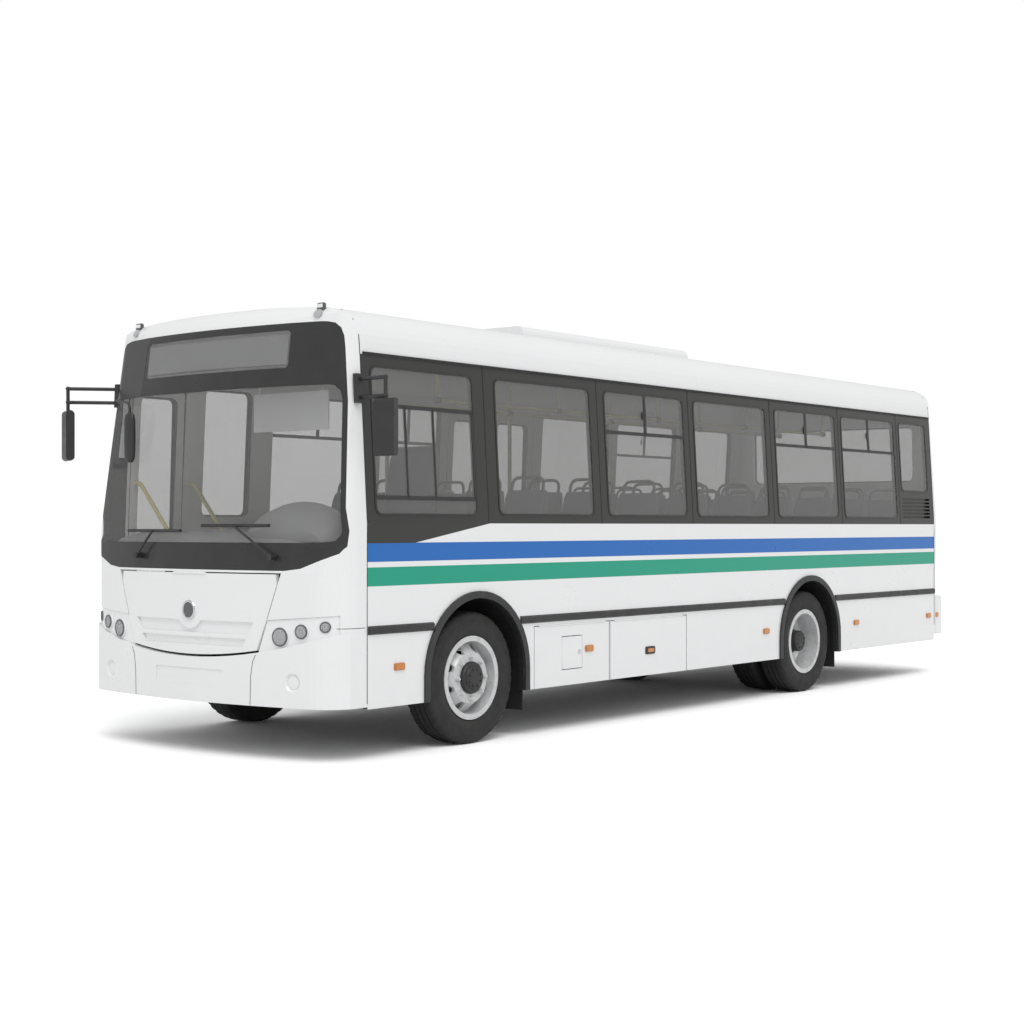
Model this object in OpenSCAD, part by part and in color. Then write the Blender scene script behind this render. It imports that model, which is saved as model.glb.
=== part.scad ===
// Single-deck bus. X forward, Y left, Z up, millimetres. The origin is on the
// ground under the middle of the bus. Places along the bus are measured from
// the front axle, forward positive, unless a comment says otherwise.

/* [Overall] */
// Length over the bumpers
body_l = 9330; // [9000:10:9700]
// Width over the side panels
body_w = 2500; // [2450:10:2550]
// Distance between the axles
wheelbase = 4810; // [4700:10:4900]
// Front bumper to front axle
front_overhang = 1565; // [1540:5:1620]
// Height of the skirt above the ground
skirt_h = 340; // [310:5:360]
// Thickness of walls, roof and doors
wall_t = 45; // [35:1:55]

/* [Body section] */
// Height where the sides start to lean in
waist_h = 1555; // [1520:5:1580]
// Height where the side walls meet the roof
gutter_h = 2690; // [2680:5:2710]
// Lean of the window band in degrees
lean_a = 3.4; // [2.5:0.1:4]
// Radius of the roof edge
roof_r = 240; // [220:5:260]
// Height of the centre of the roof edge radius
roof_edge_h = 2730; // [2725:5:2760]

/* [Front] */
// Radius of the front bow seen from above
front_bow_r = 5000; // [4600:50:5600]
// Radius of the front corners seen from above
front_corner_r = 260; // [240:5:280]
// Radius of the windscreen pillars seen from above
front_pillar_r = 150; // [130:5:170]
// Rake of the windscreen in degrees
rake_a = 6.6; // [6:0.1:7.4]
// Height where the rake starts
brow_h = 1225; // [1215:5:1235]
// Radius of the front edge of the roof
front_dome_r = 170; // [140:5:200]
// How far the front bumper stands out
bumper_proud = 18; // [12:1:25]
// Joint between the front cap and the sides, from the front axle
front_seam = 1125; // [1118:1:1135]
// Top of the front bumper in the middle
bumper_top_h = 655; // [640:5:670]
// Rise of the bumper's top edge at the corners
bumper_smile = 190; // [170:5:200]
// Top of the lamp panels
lamp_top_h = 915; // [905:5:925]

/* [Rear] */
// Radius of the rear bow seen from above
rear_bow_r = 12000; // [11000:200:14000]
// Radius of the rear corners
rear_corner_r = 120; // [100:2:122]
// Radius of the rear pillars
rear_pillar_r = 100; // [90:2:110]
// Height where the rear starts to rake
rear_brow_h = 1490; // [1480:5:1500]
// Rake of the rear above its brow in degrees
rear_rake_a = 1.5; // [1:0.1:2]
// Radius of the rear edge of the roof
rear_dome_r = 200; // [180:5:220]
// How far the rear bumper stands out
rear_bumper_proud = 90; // [70:5:100]
// Joint between the rear cap and the sides, from the rear face
rear_seam = 185; // [182:1:210]

/* [Wheels] */
// Tyre outer diameter
tyre_d = 930; // [920:2:940]
// Tyre section width
tyre_w = 255; // [245:1:262]
// Diameter over the rim flanges
rim_d = 590; // [580:2:600]
// Tyre outer face inside the body side
tyre_inset = 45; // [40:1:60]
// Distance between the twin tyres' middles
twin_pitch = 315; // [305:1:325]
// Height of the wheel arch's centre
arch_h = 505; // [500:1:515]
// Radius of the arch opening
arch_r = 522; // [515:1:530]
// Width of the arch trim
arch_trim_w = 50; // [40:1:52]

/* [Doors and lids] */
// Gap round moving panels
panel_gap = 6; // [5.5:0.5:8]
// More gap at the free edge of the service flap and engine lid
swing_gap = 7; // [6:0.5:10]
// Glass thickness
glass_t = 6; // [5:0.5:8]
// Top of the door openings
door_top_h = 2600; // [2560:5:2620]
// Bottom of the door leaves
door_low_h = 370; // [360:5:390]
// Top of the luggage hatches
hatch_top_h = 800; // [790:2:806]

/* [Inside] */
// Top of the saloon floor
floor_h = 800; // [780:5:820]
// Thickness of the floor
floor_t = 40; // [30:2:50]
// Diameter of the grab rails
rail_d = 34; // [30:1:38]

/* [Hidden] */
$fn = 64;
// Clearance between pieces that seat on each other
seat_gap = 0.3;
half_w = body_w/2;
// How far the end plans pass the sides, and the end cuts pass the ends
plan_spare = 2;
end_reach = 400;
x_front = body_l/2;
x_rear = -body_l/2;
axle_f = x_front - front_overhang;
axle_r = axle_f - wheelbase;
hub_h = tyre_d/2;
cap_x = x_front - bumper_proud;
tail_x = x_rear + rear_bumper_proud;
seam_f = axle_f + front_seam;
seam_r = tail_x + rear_seam;
wheel_y = half_w - tyre_inset - tyre_w/2;
twin_y = wheel_y - twin_pitch;
// Roof edge arc and roof crown, both tangent
roof_end_a = 85.5;
roof_edge_y = half_w - (roof_edge_h - waist_h)*tan(lean_a) - roof_r/cos(lean_a);
crown_r = roof_edge_y/cos(roof_end_a) + roof_r;
crown_z = roof_edge_h - roof_edge_y*tan(roof_end_a);
crown_h = crown_z + crown_r;

white = "whitesmoke";
black = [0.09, 0.09, 0.1];
tint = [0.2, 0.23, 0.25];
steel = [0.62, 0.63, 0.65];
yellow = [0.95, 0.72, 0.1];

// Columns: front end, rear end, low edge, high edge of each left pane
LEFT_PANES = [[1045, -5, 1600, 2590], [-240, -1410, 1605, 2590], [-1590, -2730, 1605, 2590],
    [-2880, -4080, 1605, 2590], [-4235, -5395, 1605, 2590], [-5510, -6650, 1605, 2590],
    [-6760, -7390, 1880, 2590]];
// Columns as above, for the right wall
RIGHT_PANES = [[395, -90, 1605, 2590], [-320, -1410, 1605, 2590], [-1590, -2380, 1605, 2590],
    [-3880, -5010, 1605, 2590], [-5150, -6250, 1605, 2590], [-6410, -7390, 1605, 2590]];
// Columns: front end and rear end of each opening
FRONT_DOOR = [1100, 590];
MID_DOOR = [-2480, -3730];
HATCH_FORE = [-640, -1597];
HATCH_AFT = [-1603, -2700];
// Columns: front end, rear end, low edge, high edge of the fuel flap
FUEL = [-980, -1240, 455, 708];

// Points along an arc
function arc(cx, cy, r, a0, a1, n) =
    [for (i = [0:n]) let (a = a0 + (a1 - a0)*i/n) [cx + r*cos(a), cy + r*sin(a)]];
// Rectangle with round corners, from one corner to the other
function round_rect(x0, y0, x1, y1, r, n = 5) = concat(arc(x1 - r, y1 - r, r, 0, 90, n),
    arc(x0 + r, y1 - r, r, 90, 180, n), arc(x0 + r, y0 + r, r, 180, 270, n),
    arc(x1 - r, y0 + r, r, 270, 360, n));
// Half of the body section at inset t, from the low edge z0 to the crown
function half_section(t, z0) = concat([[half_w - t, z0], [half_w - t, waist_h - t*tan(lean_a/2)]],
    arc(roof_edge_y, roof_edge_h, roof_r - t, lean_a, roof_end_a, 8),
    [for (p = arc(0, crown_z, crown_r - t, roof_end_a, 90, 5)) if (p[0] < roof_edge_y - 1 && p[0] > 1) p]);
function flip(points) = [for (i = [len(points) - 1:-1:0]) [-points[i][0], points[i][1]]];
function smile(y) = bumper_top_h + bumper_smile*pow(abs(y)/half_w, 2);

// Extrudes a Y-Z outline along X
module along_x(x0, x1) {
    translate([x0, 0, 0]) rotate([90, 0, 90]) linear_extrude(x1 - x0) children();
}
// Extrudes an X-Z outline along Y
module along_y(y0, y1) {
    translate([0, y1, 0]) rotate([90, 0, 0]) linear_extrude(y1 - y0) children();
}
module block(a, b) {
    translate(a) cube(b - a);
}
// Copies a piece to both sides
module both_sides() {
    children();
    mirror([0, 1, 0]) children();
}
// Solid bar of the body section between two places along the bus
module section_bar(t, x0, x1, z0 = skirt_h) {
    along_x(x0, x1) polygon(concat(half_section(t, z0), flip(half_section(t, z0))));
}
// Plan of one end of the body, facing +X with its middle at x = 0, at inset t
function end_plan(t, bow_r, corner_r, depth) = let (
    side_y = half_w + plan_spare,
    corner_y = side_y - corner_r,
    corner_x = -bow_r + sqrt(pow(bow_r - corner_r, 2) - pow(corner_y, 2)),
    side_a = atan(corner_y/(corner_x + bow_r)),
    half = concat([[-depth, side_y - t]], arc(corner_x, corner_y, corner_r - t, 90, side_a, 8)),
    nose = [corner_x + (corner_r - t)/cos(side_a) + corner_y*tan(side_a), 0])
    concat(half, [nose], [for (i = [len(half) - 1:-1:0]) [half[i][0], -half[i][1]]]);
// The same plan with the corner on one side only, open past the other side
function half_plan(t, bow_r, corner_r, depth, side) = let (
    whole = end_plan(t, bow_r, corner_r, depth),
    n = (len(whole) - 1)/2)
    concat([for (i = [0:n]) [whole[i][0], side*whole[i][1]]],
        [[whole[n][0], -side*2*half_w], [-depth, -side*2*half_w]]);
// One end of the body at inset t: corners, bow, rake and roof edge
module end_form(t, bow_r, corner_r, pillar_r, rake, pivot_h, dome_r, depth) {
    dome_z = crown_h - dome_r;
    dome_x = -(dome_z - pivot_h)*tan(rake) - dome_r/cos(rake);
    back = bow_r - depth - end_reach;
    profile = concat([[back, 0], [bow_r - t, 0], [bow_r - t, pivot_h - t*tan(rake/2)]],
        arc(bow_r + dome_x, dome_z, dome_r - t, rake, 90, 6), [[back, crown_h - t]]);
    intersection() {
        translate([-bow_r, 0, 0]) rotate([0, 0, -22.5]) rotate_extrude(angle = 45, $fn = 256)
            polygon(profile);
        linear_extrude(crown_h + end_reach) polygon(end_plan(t, bow_r, corner_r, depth));
        intersection_for (side = [1, -1])
            translate([0, side*half_w, waist_h]) rotate([side*lean_a, 0, 0])
                translate([0, -side*half_w, pivot_h - waist_h]) rotate([0, -rake, 0])
                    translate([0, 0, -pivot_h - end_reach]) linear_extrude(crown_h + 2*end_reach)
                        polygon(half_plan(t, bow_r, pillar_r, depth + end_reach, side));
        section_bar(t, -depth, end_reach, 0);
    }
}
module front_form(t) {
    translate([cap_x, 0, 0])
        end_form(t, front_bow_r, front_corner_r, front_pillar_r, rake_a, brow_h, front_dome_r,
            cap_x - seam_f);
}
module rear_form(t) {
    translate([tail_x, 0, 0]) rotate([0, 0, 180])
        end_form(t, rear_bow_r, rear_corner_r, rear_pillar_r, rear_rake_a, rear_brow_h, rear_dome_r,
            seam_r - tail_x);
}
module front_skin(t0, t1) {
    difference() {
        front_form(t0);
        translate([-1, 0, -1]) front_form(t1);
    }
}
module rear_skin(t0, t1) {
    difference() {
        rear_form(t0);
        translate([1, 0, -1]) rear_form(t1);
    }
}

// Outlines on the front, seen along X
// Columns: distance from the middle, height; left half of the black mask, of the glass, of the sign
MASK = [[835, 1240], [961, 1255], [1137, 1321], [1200, 1352], [1228, 1400], [1234, 1500], [1175, 2346],
    [1135, 2690], [1122, 2770], [1100, 2825], [1060, 2858], [1000, 2870], [950, 2873]];
SCREEN = [[1115, 1422], [1185, 1436], [1208, 1470], [1212, 1513], [1150, 2350], [1135, 2410], [1095, 2445],
    [1040, 2452]];
SIGN = [[710, 2575], [730, 2595], [730, 2805], [710, 2825]];
// Outline from a half, smaller by g all round the height mid_h
function outline(table, g, mid_h) = let (
    half = [for (p = table) [p[0] - g, p[1] + (p[1] < mid_h ? g : -g)]])
    concat(half, flip(half));
function mask_outline(g) = outline(MASK, g, 2000);
function screen_outline(g) = outline(SCREEN, g, 1900);
function sign_outline(g) = outline(SIGN, g, 2700);
// Side edge of the service flap from its top to the lamp panels: distance from the middle, height
flap_knee = [[816, brow_h], [700, lamp_top_h - 10]];
// Top corners of the flap, cut so that it swings clear of the cap
flap_cut = [36, 80];
function flap_side(z) = flap_knee[1][0]
    + (flap_knee[0][0] - flap_knee[1][0])*(z - flap_knee[1][1])/(flap_knee[0][1] - flap_knee[1][1]);
flap_low_y = 625;
// Service flap, smaller by g all round, with its top corners cut in by cut
function flap_outline(g, dip = 0, cut = 0) = let (
    cut_h = brow_h - flap_cut[1],
    low = [for (i = [6:-1:0]) let (y = i*(flap_low_y - g)/6) [y, smile(y) + g - dip]],
    half = concat([[flap_knee[0][0] - g - cut, brow_h - g], [flap_side(cut_h) - g, cut_h],
        [flap_knee[1][0] - g, flap_knee[1][1]]], low))
    concat(half, [for (i = [len(half) - 2:-1:0]) [-half[i][0], half[i][1]]]);
bumper_lift = 15;
// Bumper face from the low edge z0 up
function bumper_outline(z0) = concat([[half_w + 50, z0], [-half_w - 50, z0]],
    [for (i = [-10:10]) let (y = i*(half_w + 50)/10) [y, smile(y) - (z0 > 0 ? seat_gap : 0)]]);
lamp_outer_y = 1205;
// Rise of the lamp panel's top edge to its outer end
lamp_rise = 40;
// Lamp panel, smaller by g all round; dip and lap widen the cut for it
function lamp_outline(g, dip = 0, lap = 0) = concat([[flap_knee[1][0] + g - lap, lamp_top_h - g],
    [flap_low_y + g - lap, smile(flap_low_y) + g - dip]],
    [for (i = [1:6]) let (y = flap_low_y + (lamp_outer_y - g - flap_low_y)*i/6) [y, smile(y) + g - dip]],
    [[lamp_outer_y - g, lamp_top_h + lamp_rise - g]]);
// Columns: distance from the middle, height, lens diameter, turn outward in degrees, place behind the bow
LAMPS = [[812, 811, 132, 9, 0], [977, 850, 104, 12, 0], [1124, 882, 78, 34, 38]];
lens_proud = 6;
// Distance from the middle, height and diameter of the roof marker lamps
marker = [925, 2925, 60];
lens_deep = 40;
cap_t = 30;
function bow_x(y) = cap_x - front_bow_r + sqrt(front_bow_r*front_bow_r - y*y);

// Openings on the sides
module panes(table, g, deep = 200) {
    for (p = table)
        along_y(half_w - deep, half_w + 30)
            polygon(round_rect(axle_f + p[1] + g, p[2] + g, axle_f + p[0] - g, p[3] - g, 60 - g));
}
module arch_cut(x, r) {
    along_y(half_w - 200, half_w + 60)
        polygon(concat([[x + r, 0]], arc(x, arch_h, r, 0, 180, 24), [[x - r, 0]]));
}
module side_gap(span, z0, z1, g) {
    block([axle_f + span[1] + g, half_w - 200, z0 + g], [axle_f + span[0] - g, half_w + 60, z1 - g]);
}
module side_shell(t0, t1) {
    intersection() {
        difference() {
            section_bar(t0, seam_r, seam_f);
            section_bar(t1, seam_r - 1, seam_f + 1, skirt_h - 1);
        }
        block([seam_r - 2, 0, 0], [seam_f + 2, half_w + 10, gutter_h]);
    }
}
louvre_h = 1612;
louvre_pitch = 36;
module left_wall() {
    color(white) difference() {
        side_shell(0, wall_t);
        panes(LEFT_PANES, 0);
        for (x = [axle_f, axle_r])
            arch_cut(x, arch_r);
        for (span = [HATCH_FORE, HATCH_AFT])
            side_gap(span, skirt_h - 30, hatch_top_h, 0);
        // Blind louvre behind the last window
        for (i = [0:5])
            block([axle_f - 7405, half_w - 40, louvre_h + i*louvre_pitch],
                [axle_f - 6765, half_w + 10, louvre_h + i*louvre_pitch + 22]);
    }
}
module right_wall() {
    color(white) mirror([0, 1, 0]) difference() {
        side_shell(0, wall_t);
        panes(RIGHT_PANES, 0);
        for (x = [axle_f, axle_r])
            arch_cut(x, arch_r);
        for (span = [FRONT_DOOR, MID_DOOR])
            side_gap(span, skirt_h - 30, door_top_h, 0);
    }
}
module glass_sheet(table) {
    intersection() {
        side_shell(1, 1 + glass_t);
        panes(table, seat_gap);
    }
}
module left_glass() {
    color(tint) glass_sheet(LEFT_PANES);
}
module right_glass() {
    color(tint) mirror([0, 1, 0]) glass_sheet(RIGHT_PANES);
}
module roof() {
    color(white) intersection() {
        difference() {
            section_bar(0, seam_r, seam_f);
            section_bar(wall_t, seam_r - 1, seam_f + 1);
        }
        block([seam_r - 2, -half_w, gutter_h], [seam_f + 2, half_w, crown_h + 10]);
    }
}
// Low pod on the roof, from the front axle
POD = [-1060, -3390];
pod_half_w = 820;
pod_h = 62;
module roof_pod() {
    color(white) difference() {
        along_x(axle_f + POD[1], axle_f + POD[0]) polygon(concat([[pod_half_w, crown_h - 60]],
            arc(pod_half_w - 60, crown_h + pod_h - 60, 60, 0, 90, 5),
            arc(-pod_half_w + 60, crown_h + pod_h - 60, 60, 90, 180, 5),
            [[-pod_half_w, crown_h - 60]]));
        section_bar(-seat_gap, axle_f + POD[1] - 1, axle_f + POD[0] + 1);
    }
}

// Front end
module front_cap() {
    color(white) difference() {
        intersection() {
            front_skin(0, cap_t);
            block([seam_f - 1, -half_w - 1, skirt_h], [x_front + 50, half_w + 1, crown_h + 50]);
        }
        along_x(seam_f - 10, x_front + 60) polygon(mask_outline(0));
        along_x(seam_f + 120, x_front + 60) polygon(flap_outline(0, 30));
        along_x(seam_f - 10, x_front + 60) polygon(bumper_outline(0));
        both_sides() along_x(seam_f + 60, x_front + 60) polygon(lamp_outline(0, 30, 20));
    }
}
plate_deep = 5;
fog_y = 920;
module front_bumper() {
    color(white) intersection() {
        front_skin(-bumper_proud, cap_t);
        along_x(seam_f - 10, x_front + 60) polygon(bumper_outline(skirt_h + bumper_lift));
        section_bar(0, seam_f, x_front + 60, 0);
        // Blank plate place and dishes for the fog lamps
        difference() {
            block([seam_f - 10, -half_w - 60, 0], [x_front + 60, half_w + 60, waist_h]);
            intersection() {
                front_skin(-bumper_proud - 10, plate_deep - bumper_proud);
                along_x(cap_x - 200, x_front + 60) polygon(round_rect(-340, 468, 340, 578, 12));
            }
            both_sides() translate([bow_x(fog_y) + bumper_proud, fog_y, 520])
                rotate([0, 90, asin(fog_y/front_bow_r)]) translate([0, 0, -14])
                    cylinder(d1 = 96, d2 = 130, h = 18);
        }
    }
}
module windscreen_surround() {
    color(black) difference() {
        intersection() {
            front_skin(0, cap_t - 5);
            along_x(seam_f - 10, x_front + 60) polygon(mask_outline(seat_gap));
        }
        along_x(seam_f - 10, x_front + 60) polygon(screen_outline(0));
        along_x(seam_f - 10, x_front + 60) polygon(sign_outline(0));
    }
}
module windscreen() {
    color(tint) intersection() {
        front_skin(2, 2 + glass_t);
        union() {
            along_x(seam_f - 10, x_front + 60) polygon(screen_outline(seat_gap));
            along_x(seam_f - 10, x_front + 60) polygon(sign_outline(seat_gap));
        }
    }
}
module front_lamps() {
    color([0.85, 0.87, 0.9]) both_sides() {
        intersection() {
            front_skin(8, cap_t);
            along_x(seam_f + 60, x_front + 60) polygon(lamp_outline(2*seat_gap));
        }
        for (l = LAMPS)
            translate([bow_x(l[0]) - l[4], l[0], l[1]]) rotate([0, 90, l[3]]) translate([0, 0, -lens_deep])
                cylinder(d = l[2], h = lens_deep + lens_proud);
        // Marker lamp on the roof edge
        intersection() {
            translate([cap_x - 400, marker[0], marker[1]]) rotate([0, 90, 0])
                cylinder(d = marker[2], h = 500);
            front_skin(-12, -1 - 2*seat_gap);
        }
    }
}
// Columns: low and high edge of each grille pocket; their half width at the flap's low and high end
GRILLE = [[736, 790], [818, 900]];
grille_w = [[712, 480], [900, 590]];
grille_deep = 16;
// Bare round place for a badge, and its boss
badge_h = 967;
badge_r = 68;
boss_r = 125;
badge_proud = 8;
function grille_half(z) = lookup(z, grille_w);
// Hinge barrel across the bus
module cross_barrel(x, z, half_l, r) {
    along_y(-half_l, half_l) translate([x, z]) circle(r = r);
}
module front_flap() {
    color(white) difference() {
        intersection() {
            front_skin(0, cap_t);
            along_x(seam_f + 120, x_front + 60)
                polygon(flap_outline(panel_gap + 2, -swing_gap, flap_cut[0]));
        }
        intersection() {
            front_skin(-badge_proud, grille_deep);
            along_x(cap_x - 200, x_front + 60) difference() {
                union()
                    for (z = GRILLE)
                        polygon([[-grille_half(z[0]), z[0]], [grille_half(z[0]), z[0]],
                            [grille_half(z[1]), z[1]], [-grille_half(z[1]), z[1]]]);
                translate([0, badge_h]) circle(r = boss_r);
            }
        }
    }
    color(white) along_x(cap_x - grille_deep, cap_x + badge_proud)
        translate([0, badge_h]) circle(r = badge_r);
    color(white) cross_barrel(cap_x, brow_h - panel_gap - 2, 160, panel_gap + 2 - seat_gap);
}

// Rear end
rear_pane = [970, 2000, 2590];
lid = [850, 560, 1480];
rear_low_h = 400;
rear_bumper_h = 800;
module rear_cap() {
    color(white) difference() {
        intersection() {
            rear_skin(0, wall_t);
            block([x_rear - 10, -half_w - 1, rear_low_h], [seam_r + 1, half_w + 1, crown_h + 50]);
        }
        along_x(x_rear - 10, seam_r - 60)
            polygon(round_rect(-rear_pane[0], rear_pane[1], rear_pane[0], rear_pane[2], 70));
        along_x(x_rear - 10, seam_r - 60) polygon(round_rect(-lid[0], lid[1], lid[0], lid[2], 40));
    }
}
module rear_glass() {
    color(tint) intersection() {
        rear_skin(1, 1 + glass_t);
        along_x(x_rear - 10, seam_r - 60)
            polygon(round_rect(-rear_pane[0] + seat_gap, rear_pane[1] + seat_gap,
                rear_pane[0] - seat_gap, rear_pane[2] - seat_gap, 70));
    }
}
module engine_lid() {
    color(white) difference() {
        intersection() {
            rear_skin(0, wall_t - 10);
            along_x(x_rear - 10, seam_r - 60)
                polygon(round_rect(-lid[0] + panel_gap, lid[1] + panel_gap + swing_gap,
                    lid[0] - panel_gap, lid[2] - panel_gap, 40));
        }
        for (i = [0:5])
            along_x(x_rear - 10, seam_r - 60)
                polygon(round_rect(-600, 760 + i*70, 600, 800 + i*70, 15, 3));
    }
    color(white) cross_barrel(tail_x, lid[2] - panel_gap, 200, panel_gap - seat_gap);
}
module rear_bumper() {
    color(white) difference() {
        intersection() {
            rear_skin(-rear_bumper_proud, -1 - 2*seat_gap);
            section_bar(0, x_rear - 10, seam_r - 20, 0);
            block([x_rear - 10, -half_w - 1, rear_low_h], [seam_r - 20, half_w + 1, rear_bumper_h]);
        }
        along_x(x_rear - 10, seam_r - 60)
            polygon(round_rect(-lid[0] - 20, lid[1] - 20, lid[0] + 20, rear_bumper_h + 200, 40));
    }
}
// Columns: distance from the middle, height, diameter of the rear lamps
REAR_LAMPS = [[1030, 920, 110], [1030, 1050, 110], [1030, 1180, 110]];
rear_lens_t = 16;
function tail_bow_x(y) = tail_x + rear_bow_r - sqrt(rear_bow_r*rear_bow_r - y*y);
module rear_lamps() {
    color("firebrick") both_sides()
        for (l = REAR_LAMPS)
            translate([tail_bow_x(l[0]) - seat_gap, l[0], l[1]])
                rotate([0, -90, -asin(l[0]/rear_bow_r)]) cylinder(d = l[2], h = rear_lens_t);
}

// Trim on the sides
rail_low_h = 822;
rail_high_h = 880;
rail_proud = 15;
trim_proud = 18;
// Amber side lamps of the left and of the right, and height of their middles
REAR_SIDE_LAMPS = [-wheelbase + 810, -wheelbase - 914, seam_r - axle_f + 140];
LEFT_LAMPS = concat([820], REAR_SIDE_LAMPS);
RIGHT_LAMPS = concat([-1325], REAR_SIDE_LAMPS);
HATCH_LAMP = -1325;
side_lamp_h = 600;
// Where a rub rail meets an arch trim, from the axle
rail_end = sqrt(pow(arch_r + arch_trim_w, 2) - pow(rail_low_h - arch_h, 2)) + 1;
// Columns: front and rear end of each rub rail on the left, then on the right
LEFT_RAILS = [[front_seam - 4, rail_end], [-rail_end, -wheelbase + rail_end],
    [-wheelbase - rail_end, seam_r - axle_f + 4]];
RIGHT_RAILS = [[-rail_end, MID_DOOR[0] + 8], [MID_DOOR[1] - 8, -wheelbase + rail_end],
    [-wheelbase - rail_end, seam_r - axle_f + 4]];
module rub_rails(table) {
    for (r = table)
        along_x(axle_f + r[1], axle_f + r[0])
            polygon([[half_w + seat_gap, rail_low_h], [half_w + rail_proud, rail_low_h + 10],
                [half_w + rail_proud, rail_high_h - 10], [half_w + seat_gap, rail_high_h]]);
}
module arch_ring(x) {
    along_y(half_w + seat_gap, half_w + trim_proud)
        polygon(concat([[x + arch_r + arch_trim_w, skirt_h]],
            arc(x, arch_h, arch_r + arch_trim_w, 0, 180, 24),
            [[x - arch_r - arch_trim_w, skirt_h], [x - arch_r, skirt_h]],
            arc(x, arch_h, arch_r, 180, 0, 24), [[x + arch_r, skirt_h]]));
}
module side_trims() {
    color(black) {
        rub_rails(LEFT_RAILS);
        mirror([0, 1, 0]) rub_rails(RIGHT_RAILS);
        both_sides()
            for (x = [axle_f, axle_r])
                arch_ring(x);
    }
}
module side_lamp(x) {
    block([axle_f + x - 45, half_w + seat_gap, side_lamp_h - 18],
        [axle_f + x + 45, half_w + 14, side_lamp_h + 18]);
}
module side_lamps() {
    color("orange") {
        for (x = LEFT_LAMPS)
            side_lamp(x);
        mirror([0, 1, 0])
            for (x = RIGHT_LAMPS)
                side_lamp(x);
    }
}
flap_t = 10;
module mudflaps() {
    color(black) both_sides()
        for (x = [axle_f, axle_r])
            block([x - box_r - seat_gap - flap_t, half_w - wall_t - 370, 190],
                [x - box_r - seat_gap, half_w - wall_t - 6, arch_h]);
}

// Chassis, floor and running gear
rail_y = 430;
rail_in_y = 355;
rail_top_h = floor_h - floor_t - 60;
rail_low = rail_top_h - 140;
rail_web_t = 9;
tow_t = 30;
tow_r = 20;
// Places of the cross members and of the outriggers that carry the floor
CROSS = [axle_f + 900, axle_f - wheelbase/4, axle_f - wheelbase/2, axle_r + 900, axle_r - 900, tail_x + 365];
OUTRIGGERS = [axle_f - 700, axle_f - wheelbase*0.48, axle_r + 960, axle_r - 700, tail_x + 365];
module chassis_frame() {
    color(black) {
        both_sides() difference() {
            block([tail_x + 250, rail_in_y, rail_low], [cap_x - 450, rail_y, rail_top_h]);
            block([tail_x + 249, rail_in_y - 1, rail_low + rail_web_t],
                [cap_x - 449, rail_y - rail_web_t, rail_top_h - rail_web_t]);
        }
        for (x = CROSS)
            block([x - 40, -rail_y + 8, rail_low + 20], [x + 40, rail_y - 8, rail_top_h - 20]);
        for (x = OUTRIGGERS)
            block([x - 30, -half_w + wall_t + 1, rail_top_h - 5],
                [x + 30, half_w - wall_t - 1, floor_h - floor_t]);
        block([axle_f + 970, -rail_y, rail_top_h - 5],
            [axle_f + 1030, half_w - wall_t - 1, floor_h - floor_t]);
        // Tow eye at the front of the left rail
        difference() {
            block([cap_x - 451, rail_y - 80, rail_low + 10], [cap_x - 300, rail_y, rail_low + 10 + tow_t]);
            translate([cap_x - 357, rail_y - 40, 0]) cylinder(r = tow_r, h = 2*rail_low);
        }
    }
}
box_in_y = 590;
box_r = 562;
box_t = 8;
module floor() {
    color([0.35, 0.36, 0.38]) difference() {
        block([seam_r + 2, -half_w + wall_t + 0.5, floor_h - floor_t],
            [seam_f + 30, half_w - wall_t - 0.5, floor_h]);
        both_sides()
            for (x = [axle_f, axle_r])
                block([x - box_r - 1, box_in_y - 1, 0], [x + box_r + 1, half_w, floor_h + 1]);
        // Step wells inside the doors
        for (span = [FRONT_DOOR, MID_DOOR])
            block([axle_f + span[1] - 2, -half_w, 0], [axle_f + span[0] + 2, -half_w + 460, floor_h + 1]);
    }
    color([0.35, 0.36, 0.38]) for (span = [FRONT_DOOR, MID_DOOR])
        difference() {
            block([axle_f + span[1] + 2, -half_w + wall_t + 12, door_low_h + 5],
                [axle_f + span[0] - 2, -half_w + 459.5, floor_h]);
            block([axle_f + span[1] + 20, -half_w, door_low_h + 25],
                [axle_f + span[0] - 20, -half_w + 250, floor_h + 1]);
            block([axle_f + span[1] + 20, -half_w, 600],
                [axle_f + span[0] - 20, -half_w + 440, floor_h + 1]);
        }
}
module wheel_boxes() {
    color(black) both_sides()
        for (x = [axle_f, axle_r])
            difference() {
                along_y(box_in_y, half_w - wall_t - 0.5)
                    polygon(concat([[x + box_r, skirt_h + 60]], arc(x, arch_h, box_r, 0, 180, 24),
                        [[x - box_r, skirt_h + 60]]));
                along_y(box_in_y + box_t, half_w)
                    polygon(concat([[x + box_r - box_t, skirt_h]], arc(x, arch_h, box_r - box_t, 0, 180, 24),
                        [[x - box_r + box_t, skirt_h]]));
                // Way for the axle
                block([x - 140, box_in_y - 1, 0], [x + 140, box_in_y + box_t + 1, hub_h + 200]);
            }
}
kingpin_y = 930;
kingpin_r = 22;
leaf_h = 26;
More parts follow.
